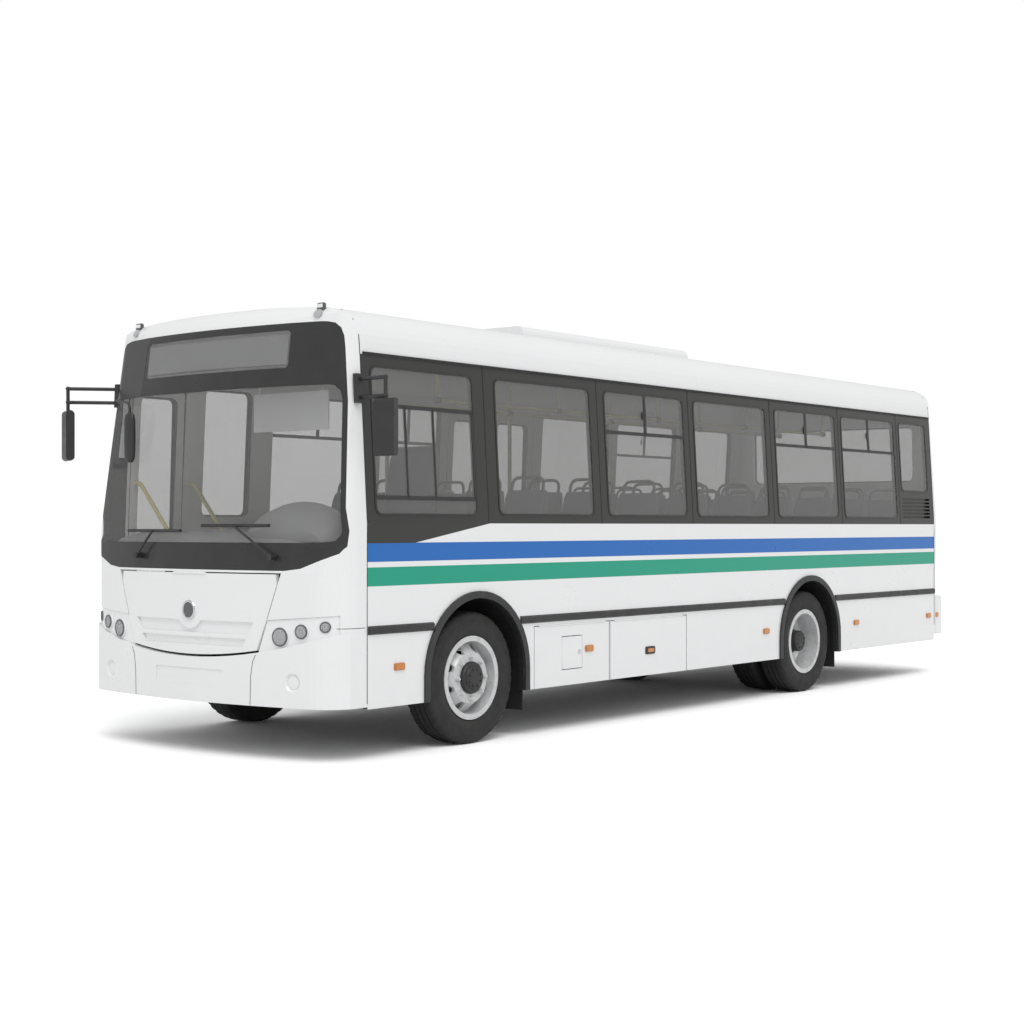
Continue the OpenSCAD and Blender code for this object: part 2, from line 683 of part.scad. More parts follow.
// Leaf spring under a chassis rail, from the axle's middle
module leaf_spring(x) {
    along_y(rail_in_y + 4, rail_y - 2) polygon([[x - 640, rail_low - leaf_h], [x - 640, rail_low - seat_gap],
        [x + 640, rail_low - seat_gap], [x + 640, rail_low - leaf_h], [x + 300, rail_low - 2*leaf_h],
        [x - 300, rail_low - 2*leaf_h]]);
}
module front_axle() {
    color(black) {
        difference() {
            block([axle_f - 50, -kingpin_y, hub_h - 70], [axle_f + 50, kingpin_y, hub_h + 30]);
            // Waisted sides of the beam
            both_sides()
                for (side = [-1, 1])
                    block([axle_f + side*42.5 - 17.5, 120, hub_h - 50],
                        [axle_f + side*42.5 + 17.5, rail_in_y - 20, hub_h + 10]);
        }
        both_sides() {
            translate([axle_f, kingpin_y, hub_h - 70]) cylinder(r = 48, h = 140);
            translate([axle_f, kingpin_y, hub_h - 132]) cylinder(r = kingpin_r, h = 264);
            block([axle_f - 90, rail_in_y + 4, hub_h + 29], [axle_f + 90, rail_y - 2, rail_low - leaf_h]);
            leaf_spring(axle_f);
        }
    }
}
ear_r = 46;
module knuckle() {
    color(steel) difference() {
        union() {
            for (z = [hub_h - 135, hub_h + 76])
                union() {
                    translate([axle_f, kingpin_y, z]) cylinder(r = ear_r, h = 59);
                    block([axle_f - ear_r, kingpin_y, z], [axle_f + ear_r, kingpin_y + 82, z + 59]);
                }
            block([axle_f - 55, kingpin_y + 55, hub_h - 135], [axle_f + 55, kingpin_y + 82, hub_h + 135]);
            translate([axle_f, kingpin_y + 81, hub_h]) rotate([-90, 0, 0]) cylinder(r = spindle_r, h = 110);
        }
        translate([axle_f, kingpin_y, 0]) cylinder(r = kingpin_r + seat_gap, h = 2*hub_h);
    }
}
spindle_r = 40;
module knuckle_left() {
    knuckle();
}
module knuckle_right() {
    mirror([0, 1, 0]) knuckle();
}
rear_spindle_r = 60;
module rear_axle() {
    color(black) {
        translate([axle_r, 0, hub_h]) sphere(r = 205);
        both_sides() {
            translate([axle_r, 0, hub_h]) rotate([-90, 0, 0]) cylinder(r = 78, h = twin_y + 60);
            translate([axle_r, 0, hub_h]) rotate([-90, 0, 0]) cylinder(r = rear_spindle_r, h = 1010);
            block([axle_r - 90, rail_in_y + 4, hub_h], [axle_r + 90, rail_y - 2, rail_low - leaf_h]);
            leaf_spring(axle_r);
        }
    }
}
module engine() {
    color([0.25, 0.26, 0.28])
        block([tail_x + 425, -rail_in_y + seat_gap, 400],
            [tail_x + 1715, rail_in_y - seat_gap, floor_h - floor_t - 1]);
}
module fuel_tank() {
    color([0.2, 0.2, 0.22])
        along_x(axle_f - 2340, axle_f - 1400)
            polygon(round_rect(rail_y + 20, 380, half_w - wall_t - 120, rail_top_h - 5 - seat_gap, 50));
}

// Wheels, turned about Y; profiles are radius and distance from the tyre's middle
rim_r = rim_d/2;
bead_r = rim_r - 22;
side_bulge = 8;
shoulder_r = 30;
tyre_profile = let (w = tyre_w/2, top = tyre_d/2)
    concat([[bead_r, -w*0.66], [rim_r + 6, -w*0.84], [rim_r + 55, -w]],
        arc(top - shoulder_r, -w + shoulder_r + side_bulge, shoulder_r, 270, 360, 4),
        arc(top - shoulder_r, w - shoulder_r - side_bulge, shoulder_r, 0, 90, 4),
        [[rim_r + 55, w], [rim_r + 6, w*0.84], [bead_r, w*0.66]]);
module turned(x, y) {
    translate([x, y, hub_h]) rotate([-90, 0, 0]) rotate_extrude($fn = 96) children();
}
module tyre(x, y) {
    color(black) turned(x, y) polygon(tyre_profile);
}
module barrel(x, y) {
    turned(x, y) polygon([[bead_r - 16, -tyre_w*0.45], [rim_r, -tyre_w*0.45], [rim_r, -tyre_w*0.45 + 6],
        [bead_r - seat_gap, -tyre_w*0.4], [bead_r - seat_gap, tyre_w*0.4],
        [rim_r, tyre_w*0.45 - 6], [rim_r, tyre_w*0.45], [bead_r - 16, tyre_w*0.45]]);
}
hand_holes = 8;
hand_hole_d = 62;
module front_rim() {
    // Wheel face, just inside the rim's lip
    face_o = tyre_w*0.45 - 12;
    color(steel) difference() {
        union() {
            barrel(axle_f, wheel_y);
            turned(axle_f, wheel_y) polygon([[spindle_r + seat_gap, -60], [98, -60], [98, face_o - 25],
                [172, face_o - 19], [bead_r - 14, face_o - 117], [bead_r - 14, face_o - 95], [180, face_o],
                [110, face_o], [100, face_o + 25], [spindle_r + seat_gap, face_o + 25]]);
        }
        for (i = [0:hand_holes - 1])
            translate([axle_f, wheel_y, hub_h]) rotate([0, (i + 0.5)*360/hand_holes, 0])
                translate([0, 0, 212]) rotate([-90, 0, 0]) cylinder(d = hand_hole_d, h = 200, center = true);
    }
}
module rear_rim() {
    mid_y = (wheel_y + twin_y)/2;
    o = twin_pitch/2;
    color(steel) difference() {
        union() {
            barrel(axle_r, wheel_y);
            barrel(axle_r, twin_y);
            turned(axle_r, mid_y) polygon([[rear_spindle_r + seat_gap, -40], [115, -40], [115, -16],
                [205, -16], [bead_r - 14, -o + 70], [bead_r - 14, -o + 95], [222, 0], [bead_r - 14, o - 95],
                [bead_r - 14, o - 70], [205, 16], [115, 16], [115, 95], [rear_spindle_r + seat_gap, 95]]);
        }
        for (i = [0:hand_holes - 1])
            translate([axle_r, mid_y, hub_h]) rotate([0, (i + 0.5)*360/hand_holes, 0])
                translate([0, 0, 182]) rotate([-90, 0, 0])
                    cylinder(d = hand_hole_d - 8, h = 200, center = true);
    }
}
module rim_front_left() {
    front_rim();
}
module rim_front_right() {
    mirror([0, 1, 0]) front_rim();
}
module rim_rear_left() {
    rear_rim();
}
module rim_rear_right() {
    mirror([0, 1, 0]) rear_rim();
}
module tyre_front_left() {
    tyre(axle_f, wheel_y);
}
module tyre_front_right() {
    tyre(axle_f, -wheel_y);
}
module tyres_rear_left() {
    tyre(axle_r, wheel_y);
    tyre(axle_r, twin_y);
}
module tyres_rear_right() {
    tyre(axle_r, -wheel_y);
    tyre(axle_r, -twin_y);
}

// Doors and lids
door_frame_w = 75;
leaf_w = (MID_DOOR[0] - MID_DOOR[1])/2;
MID_FORE = [MID_DOOR[0], MID_DOOR[0] - leaf_w + panel_gap/2];
MID_AFT = [MID_DOOR[1] + leaf_w - panel_gap/2, MID_DOOR[1]];
function leaf_pane(span) = [[span[0] - panel_gap - door_frame_w, span[1] + panel_gap + door_frame_w,
    door_low_h + 620, door_top_h - 100]];
// Hinge barrel on a vertical axis at the outer face of a side panel
barrel_r = panel_gap - seat_gap;
module upright_barrel(x, z0, z1) {
    translate([x, half_w, z0]) cylinder(r = barrel_r, h = z1 - z0);
}
// Door leaf; hinge is +1 where it swings from its front edge and -1 from its rear edge
module leaf(span, hinge) {
    axis_x = axle_f + (hinge > 0 ? span[0] - panel_gap : span[1] + panel_gap);
    swing_r = span[0] - span[1] - 2*panel_gap;
    color(white) mirror([0, 1, 0]) {
        difference() {
            intersection() {
                side_shell(0, wall_t);
                side_gap(span, door_low_h - panel_gap, door_top_h, panel_gap);
                translate([axis_x, half_w, 0]) cylinder(r = swing_r, h = crown_h, $fn = 360);
            }
            panes(leaf_pane(span), 0);
        }
        upright_barrel(axis_x, door_low_h + 80, waist_h - 60);
    }
}
module leaf_glass(span) {
    color(tint) mirror([0, 1, 0]) glass_sheet(leaf_pane(span));
}
module front_door() {
    leaf(FRONT_DOOR, 1);
}
module front_door_glass() {
    leaf_glass(FRONT_DOOR);
}
module mid_door_fore() {
    leaf(MID_FORE, 1);
}
module mid_door_fore_glass() {
    leaf_glass(MID_FORE);
}
module mid_door_aft() {
    leaf(MID_AFT, -1);
}
module mid_door_aft_glass() {
    leaf_glass(MID_AFT);
}
module hatch(span) {
    intersection() {
        side_shell(0, lid_t);
        side_gap(span, skirt_h - panel_gap - 10, hatch_top_h, panel_gap);
    }
    translate([axle_f + span[1] + 60, half_w, hatch_top_h - panel_gap]) rotate([0, 90, 0])
        cylinder(r = barrel_r, h = span[0] - span[1] - 120);
}
lid_t = 30;
module hatch_fore() {
    color(white) {
        difference() {
            hatch(HATCH_FORE);
            side_gap(FUEL, FUEL[2], FUEL[3], 0);
        }
        translate([0, -seat_gap - 1, 0]) side_lamp(HATCH_LAMP);
    }
}
module hatch_aft() {
    color(white) hatch(HATCH_AFT);
}
module fuel_flap() {
    axis_x = axle_f + FUEL[0] - panel_gap;
    color(white) {
        intersection() {
            side_shell(0, lid_t);
            side_gap(FUEL, FUEL[2], FUEL[3], panel_gap);
            translate([axis_x, half_w, 0])
                cylinder(r = FUEL[0] - FUEL[1] - 2*panel_gap, h = waist_h, $fn = 360);
        }
        upright_barrel(axis_x, FUEL[2] + 40, FUEL[3] - 40);
    }
}

// Mirrors, wipers and what shows inside
function side_y(z) = half_w - max(0, z - waist_h)*tan(lean_a);
module tube(a, b, d) {
    v = b - a;
    translate(a) rotate([0, acos(v[2]/norm(v)), atan2(v[1], v[0])]) cylinder(d = d, h = norm(v));
}
mirror_w = 150;
mirror_h = 370;
mirror_t = 60;
mirror_y = 1470;
mirror_tube_d = 26;
bracket_x = axle_f + 1168;
// Head of a mirror, turned about its middle towards the driver
module mirror_head(x, z, turn) {
    translate([x, mirror_y, 0]) rotate([0, 0, turn]) along_y(-mirror_w/2, mirror_w/2)
        polygon(round_rect(-mirror_t/2, z, mirror_t/2, z + mirror_h, 28));
}
module elbow(place) {
    translate(place) sphere(d = mirror_tube_d + 8);
}
// Bracket on the side between two heights
module mirror_bracket(z0, z1) {
    along_x(bracket_x - 35, bracket_x + 35) polygon([[side_y(z0) + seat_gap, z0], [side_y(z0) + 40, z0],
        [side_y(z1) + 40, z1], [side_y(z1) + seat_gap, z1]]);
}
// Arms from the bracket at the heights of a table to a head at x, and the upright between them
module mirror_arms(x, table, low_z) {
    for (z = table) {
        tube([bracket_x, 1222, z], [x, mirror_y, z], mirror_tube_d);
        elbow([x, mirror_y, z]);
    }
    tube([x, mirror_y, low_z], [x, mirror_y, max(table)], mirror_tube_d);
}
module mirrors() {
    color(black) {
        mirror_bracket(2330, 2520);
        mirror_arms(axle_f + 1190, [2365, 2485], 2300);
        mirror_head(axle_f + 1190, 1980, 15);
        mirror([0, 1, 0]) {
            mirror_bracket(2405, 2575);
            mirror_arms(axle_f + 1440, [2440, 2540], 2300);
            mirror_head(axle_f + 1440, 2010, 25);
        }
    }
}
// Columns: pivot place across, blade's near end and far end across, height of the blade
WIPERS = [[760, 120, 720, 1535], [-560, -700, -90, 1500]];
wiper_pivot_h = 1330;
pivot_r = 20;
function screen_x(y, z) = bow_x(y) - (z - brow_h)*tan(rake_a);
module wipers() {
    color(black)
        for (w = WIPERS) {
            mid = (w[1] + w[2])/2;
            foot = seat_gap + pivot_r*norm([tan(asin(w[0]/front_bow_r)), tan(rake_a)]);
            tube([screen_x(w[0], wiper_pivot_h) + foot, w[0], wiper_pivot_h],
                [screen_x(w[0], wiper_pivot_h) + 55, w[0], wiper_pivot_h], 2*pivot_r);
            tube([screen_x(w[0], wiper_pivot_h) + 40, w[0], wiper_pivot_h],
                [screen_x(mid, w[3]) + 40, mid, w[3]], 16);
            tube([screen_x(w[1], w[3]) + 34, w[1], w[3]], [screen_x(w[2], w[3]) + 34, w[2], w[3]], 22);
        }
}
dash_back = 1000;
dash_h = 1370;
module dashboard() {
    color([0.22, 0.22, 0.24]) along_y(-half_w + wall_t + 470, half_w - wall_t - 60)
        polygon([[axle_f + dash_back - 160, floor_h + seat_gap],
            [axle_f + dash_back + 120, floor_h + seat_gap], [axle_f + dash_back + 150, dash_h - 60],
            [axle_f + dash_back + 120, dash_h],
            [axle_f + dash_back - 60, dash_h], [axle_f + dash_back - 160, dash_h - 180]]);
}
wheel_place = [720, 640, 1400];
module steering_wheel() {
    color(black) {
        translate([axle_f + wheel_place[0], wheel_place[1], wheel_place[2]]) rotate([0, -25, 0]) {
            rotate_extrude() translate([225, 0]) circle(r = 14, $fn = 24);
            cylinder(r = 60, h = 30, center = true);
            for (a = [0, 120, 240])
                rotate([0, 0, a]) translate([0, -15, -7]) cube([220, 30, 14]);
        }
        tube([axle_f + wheel_place[0] + 10, wheel_place[1], wheel_place[2] - 10],
            [axle_f + wheel_place[0] + 75, wheel_place[1], floor_h + 4.2], 60);
    }
}
module driver_partition() {
    color([0.3, 0.31, 0.33]) {
        block([axle_f - 60, 250, floor_h + 330], [axle_f - 30, half_w - wall_t - 80, 1750]);
        block([axle_f - 60, 250, floor_h + seat_gap], [axle_f - 30, box_in_y - 2, floor_h + 330]);
    }
}
// Places of the seat backs along the bus
LEFT_SEATS = [-900, -1650, -2400, -3150, -3900, -4650, -5400, -6150, -6900];
RIGHT_SEATS = [-900, -1650, -4180, -4930, -5680, -6430, -7100];
seat_in_y = 290;
seat_out_y = 1130;
seat_h = 430;
seat_back_h = 1120;
module seat(x, base) {
    along_y(seat_in_y, seat_out_y) polygon([[x, base + seat_h - 90], [x + 420, base + seat_h - 60],
        [x + 430, base + seat_h], [x + 40, base + seat_h], [x - 70, base + seat_back_h],
        [x - 130, base + seat_back_h], [x - 50, base + seat_h - 90]]);
    block([x + 60, seat_in_y + 120, base + seat_gap], [x + 160, seat_in_y + 220, base + seat_h - 70]);
}
driver_h = 1090;
module seats() {
    color([0.25, 0.26, 0.29]) {
        for (x = LEFT_SEATS)
            seat(axle_f + x, floor_h);
        for (x = RIGHT_SEATS)
            mirror([0, 1, 0]) seat(axle_f + x, floor_h);
        // Driver's seat, on a pedestal beside the wheel box
        along_y(440, 900) polygon([[axle_f + 20, driver_h], [axle_f + 500, driver_h + 20],
            [axle_f + 510, driver_h + 110], [axle_f + 110, driver_h + 100], [axle_f + 50, driver_h + 780],
            [axle_f - 10, driver_h + 780]]);
        block([axle_f + 150, 450, floor_h + seat_gap], [axle_f + 420, 580, driver_h + 30]);
    }
}
rail_high = 2500;
rail_in = seat_in_y - 28;
module handrails() {
    color(yellow) {
        both_sides() tube([axle_f - 700, rail_in, rail_high], [axle_f - 6900, rail_in, rail_high], rail_d);
        both_sides()
            for (x = [-700, -2250, -3760, -5300, -6900])
                tube([axle_f + x, rail_in, rail_high - 5], [axle_f + x, rail_in, crown_h - wall_t - 4],
                    rail_d - 4);
        for (x = [-700, -2250, -3760])
            mirror([0, 1, 0])
                tube([axle_f + x, rail_in, floor_h + seat_gap], [axle_f + x, rail_in, rail_high], rail_d);
    }
}

chassis_frame();
floor();
wheel_boxes();
front_cap();
front_bumper();
rear_bumper();
front_lamps();
windscreen_surround();
windscreen();
left_wall();
right_wall();
left_glass();
right_glass();
roof();
roof_pod();
rear_cap();
rear_glass();
rear_lamps();
side_lamps();
side_trims();
mudflaps();
mirrors();
wipers();
dashboard();
steering_wheel();
driver_partition();
seats();
handrails();
engine();
front_axle();
rear_axle();
fuel_tank();
knuckle_left();
knuckle_right();
rim_front_left();
rim_front_right();
rim_rear_left();
rim_rear_right();
tyre_front_left();
tyre_front_right();
tyres_rear_left();
tyres_rear_right();
front_door();
front_door_glass();
mid_door_fore();
mid_door_fore_glass();
mid_door_aft();
mid_door_aft_glass();
hatch_fore();
hatch_aft();
fuel_flap();
engine_lid();
front_flap();
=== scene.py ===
"""Single-deck bus: finishes and fittings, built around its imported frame."""

import math

import bmesh
import bpy
from bpy.props import FloatProperty, FloatVectorProperty, PointerProperty
from mathutils import Matrix, Vector
from mathutils.bvhtree import BVHTree


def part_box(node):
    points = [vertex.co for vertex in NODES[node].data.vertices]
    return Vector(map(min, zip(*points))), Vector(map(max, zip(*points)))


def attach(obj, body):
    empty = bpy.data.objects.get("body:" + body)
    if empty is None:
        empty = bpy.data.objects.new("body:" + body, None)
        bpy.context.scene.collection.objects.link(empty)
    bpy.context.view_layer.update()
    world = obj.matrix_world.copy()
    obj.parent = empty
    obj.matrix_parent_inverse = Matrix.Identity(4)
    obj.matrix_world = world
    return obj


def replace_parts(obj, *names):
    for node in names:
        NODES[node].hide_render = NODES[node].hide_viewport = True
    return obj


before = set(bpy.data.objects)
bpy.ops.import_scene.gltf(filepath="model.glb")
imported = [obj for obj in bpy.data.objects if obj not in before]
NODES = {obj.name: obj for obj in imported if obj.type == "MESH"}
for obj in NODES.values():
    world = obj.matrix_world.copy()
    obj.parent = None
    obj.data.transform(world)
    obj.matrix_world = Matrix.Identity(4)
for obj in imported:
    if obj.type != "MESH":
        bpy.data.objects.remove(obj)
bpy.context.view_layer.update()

bl_info = {
    "name": "Single-Deck Bus",
    "version": (1, 0, 0),
    "blender": (4, 5, 0),
    "location": "View3D > Sidebar > Bus",
    "description": "Dresses the frame of a single-deck bus with its finishes and fittings",
    "category": "Object",
}


def middle(node):
    low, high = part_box(node)
    return (low + high) / 2


HALF_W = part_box("left_wall")[1].y
AXLE_F = middle("tyre_front_left").x
AXLE_R = middle("tyres_rear_left").x
HUB_H = middle("tyre_front_left").z
TYRE_R = (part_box("tyre_front_left")[1].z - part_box("tyre_front_left")[0].z) / 2
SEAM_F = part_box("left_wall")[1].x
SEAM_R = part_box("left_wall")[0].x
BUMPER_PROUD = 0.018
NOSE_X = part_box("front_bumper")[1].x - BUMPER_PROUD
TAIL_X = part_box("rear_cap")[0].x


# Sizes and colours


def colour(name, description, default):
    return FloatVectorProperty(
        name=name, description=description, default=default, subtype="COLOR", size=3, min=0, max=1
    )


def length(name, description, default):
    return FloatProperty(name=name, description=description, default=default, unit="LENGTH")


def angle(name, description, degrees):
    return FloatProperty(name=name, description=description, default=math.radians(degrees), subtype="ANGLE")


class BusPaint(bpy.types.PropertyGroup):
    """Paint of the body and the layout of its bands."""

    white: colour("White", "Panel paint", (0.86, 0.865, 0.87))
    blue: colour("Blue", "Upper stripe", (0.012, 0.145, 0.5))
    green: colour("Green", "Lower stripe", (0.006, 0.345, 0.222))
    black: colour("Black", "Windscreen surround and edges", (0.026, 0.026, 0.026))
    band: colour("Band", "Window band", (0.036, 0.036, 0.034))
    lining: colour("Lining", "Inside of the walls and roof", (0.76, 0.76, 0.75))
    green_low: length("Green low", "Low edge of the green stripe", 1.138)
    green_high: length("Green high", "High edge of the green stripe", 1.262)
    blue_low: length("Blue low", "Low edge of the blue stripe", 1.297)
    blue_high: length("Blue high", "High edge of the blue stripe", 1.421)
    band_low: length("Band low", "Low edge of the window band", 1.55)
    band_high: length("Band high", "High edge of the window band", 2.655)
    dip_low: length("Dip low", "Low edge of the band at the driver's window", 1.419)
    dip_front: length("Dip front", "Where the dip ends, from the front axle", 0.663)
    dip_rear: length("Dip rear", "Where the dip starts, from the front axle", -0.132)


class BusSection(bpy.types.PropertyGroup):
    """Lean of the side walls, and the bow and rake of both ends."""

    waist_h: length("Waist", "Height where the sides start to lean in", 1.555)
    lean: angle("Lean", "Lean of the window band", 3.4)
    bow_r: length("Front bow", "Radius of the front seen from above", 5.0)
    brow_h: length("Brow", "Height where the windscreen's rake starts", 1.225)
    rake: angle("Rake", "Rake of the windscreen", 6.6)
    bumper_proud: length("Bumper", "How far the front bumper stands out", BUMPER_PROUD)
    rear_bow_r: length("Rear bow", "Radius of the rear seen from above", 12.0)
    rear_brow_h: length("Rear brow", "Height where the rear's rake starts", 1.49)
    rear_rake: angle("Rear rake", "Rake of the rear", 1.5)


class BusStage(bpy.types.PropertyGroup):
    """Camera and light."""

    yaw: angle("Yaw", "Camera's turn from the bus", 38.5)
    ahead: length("Ahead", "Camera ahead of the front axle", 9.111)
    beside: length("Beside", "Camera beside the middle of the bus", 8.801)
    eye: length("Eye", "Camera above the ground", 1.532)
    lens: FloatProperty(name="Lens", description="Focal length", default=59.31, unit="CAMERA")
    rise: FloatProperty(name="Rise", description="Upward shift of the view", default=0.01367)
    floor: colour("Floor", "Floor's colour", (0.9, 0.9, 0.9))
    lift: FloatProperty(name="Lift", description="How much brighter the camera sees the floor", default=1.5)
    sky: FloatProperty(name="Sky", description="Strength of the soft light all round", default=0.72)
    key: FloatProperty(name="Key", description="Strength of the key light", default=1.1)


def bus():
    return bpy.context.scene.bus


# Materials


class Finish:
    """Node graph of one material, with short calls for the nodes used here."""

    def __init__(self, name, **values):
        self.material = bpy.data.materials.new(name)
        self.material.use_nodes = True
        self.tree = self.material.node_tree
        self.shader = self.tree.nodes["Principled BSDF"]
        for socket, value in values.items():
            self.set(socket.replace("_", " "), value)

    def set(self, socket, value):
        name = next(i.name for i in self.shader.inputs if i.name.lower() == socket.lower())
        if isinstance(value, bpy.types.NodeSocket):
            self.tree.links.new(value, self.shader.inputs[name])
        elif name in ("Base Color", "Emission Color", "Coat Tint", "Sheen Tint"):
            self.shader.inputs[name].default_value = (*value, 1)
        else:
            self.shader.inputs[name].default_value = value

    def node(self, kind, inputs=(), **settings):
        made = self.tree.nodes.new(kind)
        for name, value in settings.items():
            setattr(made, name, value)
        for key, value in dict(inputs).items():
            if isinstance(value, bpy.types.NodeSocket):
                self.tree.links.new(value, made.inputs[key])
            else:
                made.inputs[key].default_value = value
        return made

    def place(self, kind="Object"):
        return self.node("ShaderNodeTexCoord").outputs[kind]

    def split(self, vector):
        return self.node("ShaderNodeSeparateXYZ", {0: vector}).outputs

    def noise(self, scale, detail=4, rough=0.55, vector=None):
        inputs = {"Vector": vector or self.place(), "Scale": scale, "Detail": detail, "Roughness": rough}
        return self.node("ShaderNodeTexNoise", inputs).outputs["Fac"]

    def math(self, operation, a, b=0.0, clamp=False):
        return self.node("ShaderNodeMath", {0: a, 1: b}, operation=operation, use_clamp=clamp).outputs[0]

    def span(self, value, low, high, to_low=0.0, to_high=1.0):
        inputs = {0: value, 1: low, 2: high, 3: to_low, 4: to_high}
        return self.node("ShaderNodeMapRange", inputs).outputs[0]

    def mix(self, factor, a, b):
        made = self.node("ShaderNodeMix", data_type="RGBA")
        for key, value in ((0, factor), (6, a), (7, b)):
            if isinstance(value, bpy.types.NodeSocket):
                self.tree.links.new(value, made.inputs[key])
            else:
                made.inputs[key].default_value = (*value, 1) if key else value
        return made.outputs[2]

    def between(self, value, low, high, soft=0.001):
        """1 where value lies between low and high."""
        above = self.span(value, low - soft, low + soft)
        below = self.span(value, high + soft, high - soft)
        return self.math("MULTIPLY", above, below)

    def bump(self, height, strength, distance):
        inputs = {"Height": height, "Strength": strength, "Distance": distance}
        self.set("normal", self.node("ShaderNodeBump", inputs).outputs[0])

    def shade(self, factor, deep, pale):
        """Base colour between two shades."""
        self.set("base color", self.mix(factor, deep, pale))

    def rough(self, scale, low, high, detail=4, top=0.7):
        """Roughness that varies in soft patches."""
        self.set("roughness", self.span(self.noise(scale, detail), 0.3, top, low, high))

    def ridges(self, axis, pitch):
        """Fine waves along one axis."""
        return self.math("SINE", self.math("MULTIPLY", self.split(self.place())[axis], pitch))

    def white(self, dim):
        """White paint with faint patches."""
        white = tuple(bus().paint.white)
        return self.mix(self.noise(1.3), white, tuple(dim * c for c in white))


def paint_grain(f):
    """Faint ripple of sprayed paint, and gloss that varies a little."""
    f.bump(f.noise(900, 2), 0.02, 0.0005)
    f.rough(3.5, 0.27, 0.31)


def road_film(f, base):
    """Base colour with a thin film of road dust that fades with height."""
    height = f.split(f.place())[2]
    patches = f.span(f.noise(5.5, 6, 0.65), 0.35, 0.75)
    film = f.math("MULTIPLY", f.span(height, 1.0, 0.3), f.math("MULTIPLY", patches, 0.05))
    return f.mix(film, base, (0.36, 0.34, 0.31))


def white_paint(name):
    f = Finish(name, coat_weight=0.5, coat_roughness=0.06)
    f.set("base color", road_film(f, f.white(0.97)))
    paint_grain(f)
    return f.material


def side_paint(name):
    """White wall with its two stripes, its black window band and its inside lining."""
    p = bus().paint
    f = Finish(name, coat_weight=0.5, coat_roughness=0.06)
    x, y, z = f.split(f.place())
    green = f.between(z, p.green_low, p.green_high)
    blue = f.between(z, p.blue_low, p.blue_high)
    low = f.span(x, AXLE_F + p.dip_rear, AXLE_F + p.dip_front, p.band_low, p.dip_low)
    over = f.span(f.math("SUBTRACT", z, low), -0.001, 0.001)
    under = f.span(z, p.band_high + 0.001, p.band_high - 0.001)
    band = f.math("MULTIPLY", over, under)
    # 1 on the outer face, 0 on the edges and -1 on the inner face
    outside = f.math("MULTIPLY", f.split(f.place("Normal"))[1], f.math("SIGN", y))
    base = road_film(f, f.white(0.97))
    for factor, paint in ((green, p.green), (blue, p.blue), (band, p.band),
                          (f.span(outside, 0.25, 0.2), p.black), (f.span(outside, -0.2, -0.25), p.lining)):
        base = f.mix(factor, base, tuple(paint))
    f.set("base color", base)
    # Stripes and band are less glossy than the white
    film = f.math("MAXIMUM", band, f.math("MAXIMUM", green, blue))
    f.set("coat weight", f.span(film, 0, 1, 0.5, 0.15))
    f.set("specular ior level", f.span(film, 0, 1, 0.5, 0.32))
    paint_grain(f)
    return f.material


def black_gloss(name):
    f = Finish(name, coat_weight=0.12, coat_roughness=0.04, specular_ior_level=0.3)
    black = tuple(bus().paint.black)
    f.shade(f.noise(6), black, tuple(1.6 * c for c in black))
    paint_grain(f)
    return f.material


def lamp_panel(name):
    """White panel with its clear lenses and the roof's marker lamps."""
    f = Finish(name, coat_weight=0.5, coat_roughness=0.05)
    marker = f.span(f.split(f.place())[2], 2.6, 2.61)
    f.shade(marker, f.white(0.98), (0.42, 0.43, 0.45))
    f.rough(30, 0.2, 0.3)
    return f.material


def reflector(name):
    """Silvered bowl with fine flutes, with painted highlights on their crests and painted shade in their
    troughs.
    """
    f = Finish(name, metallic=0.9)
    flutes = f.ridges(1, 700)
    # Painted highlight and shade: the flutes' crests are painted bright and their troughs dark, in step with
    # the bump
    f.shade(f.span(flutes, -1, 1), (0.14, 0.145, 0.15), (0.62, 0.63, 0.64))
    f.rough(40, 0.12, 0.22)
    f.bump(flutes, 0.4, 0.001)
    return f.material


def rim_paint(name):
    f = Finish(name, metallic=0.2)
    dirt = f.span(f.noise(22, 6, 0.7), 0.5, 0.75)
    f.shade(dirt, (0.66, 0.665, 0.67), (0.46, 0.455, 0.445))
    f.rough(18, 0.36, 0.55)
    f.bump(f.noise(500, 2), 0.06, 0.0005)
    return f.material


def dark_steel(name):
    f = Finish(name, metallic=0.4)
    rust = f.span(f.noise(16, 6, 0.7), 0.62, 0.75)
    f.shade(rust, (0.028, 0.028, 0.03), (0.085, 0.05, 0.032))
    f.rough(12, 0.5, 0.75)
    f.bump(f.noise(220, 4), 0.15, 0.001)
    return f.material


def floor_cover(name):
    f = Finish(name)
    specks = f.span(f.noise(420, 1), 0.6, 0.68)
    f.shade(specks, (0.13, 0.135, 0.14), (0.3, 0.3, 0.3))
    f.rough(9, 0.5, 0.65)
    f.bump(f.noise(420, 1), 0.1, 0.0005)
    return f.material


def seat_fabric(name):
    f = Finish(name, sheen_weight=0.5, sheen_roughness=0.4)
    inputs = {"Vector": f.place(), "Scale": 160.0, "Distortion": 0.6}
    weave = f.node("ShaderNodeTexWave", inputs).outputs[1]
    f.shade(weave, (0.06, 0.064, 0.075), (0.1, 0.106, 0.122))
    f.rough(30, 0.75, 0.9)
    f.bump(weave, 0.3, 0.0008)
    return f.material


def yellow_paint(name):
    f = Finish(name, coat_weight=0.3)
    f.shade(f.noise(9, 5), (0.58, 0.5, 0.2), (0.65, 0.57, 0.26))
    f.rough(12, 0.28, 0.42)
    f.bump(f.noise(500, 2), 0.04, 0.0005)
    return f.material


def smooth(name, deep, pale, scale, rough, values):
    """Glass or bright metal."""
    f = Finish(name, **values)
    f.shade(f.noise(scale), deep, pale)
    f.rough(*rough)
    return f.material


def moulded(name, deep, pale, low, high, grain=650):
    """Moulded plastic or rubber with a fine grain."""
    f = Finish(name)
    f.shade(f.noise(7, 5), deep, pale)
    f.rough(11, low, high)
    f.bump(f.noise(grain, 3), 0.12, 0.0006)
    return f.material


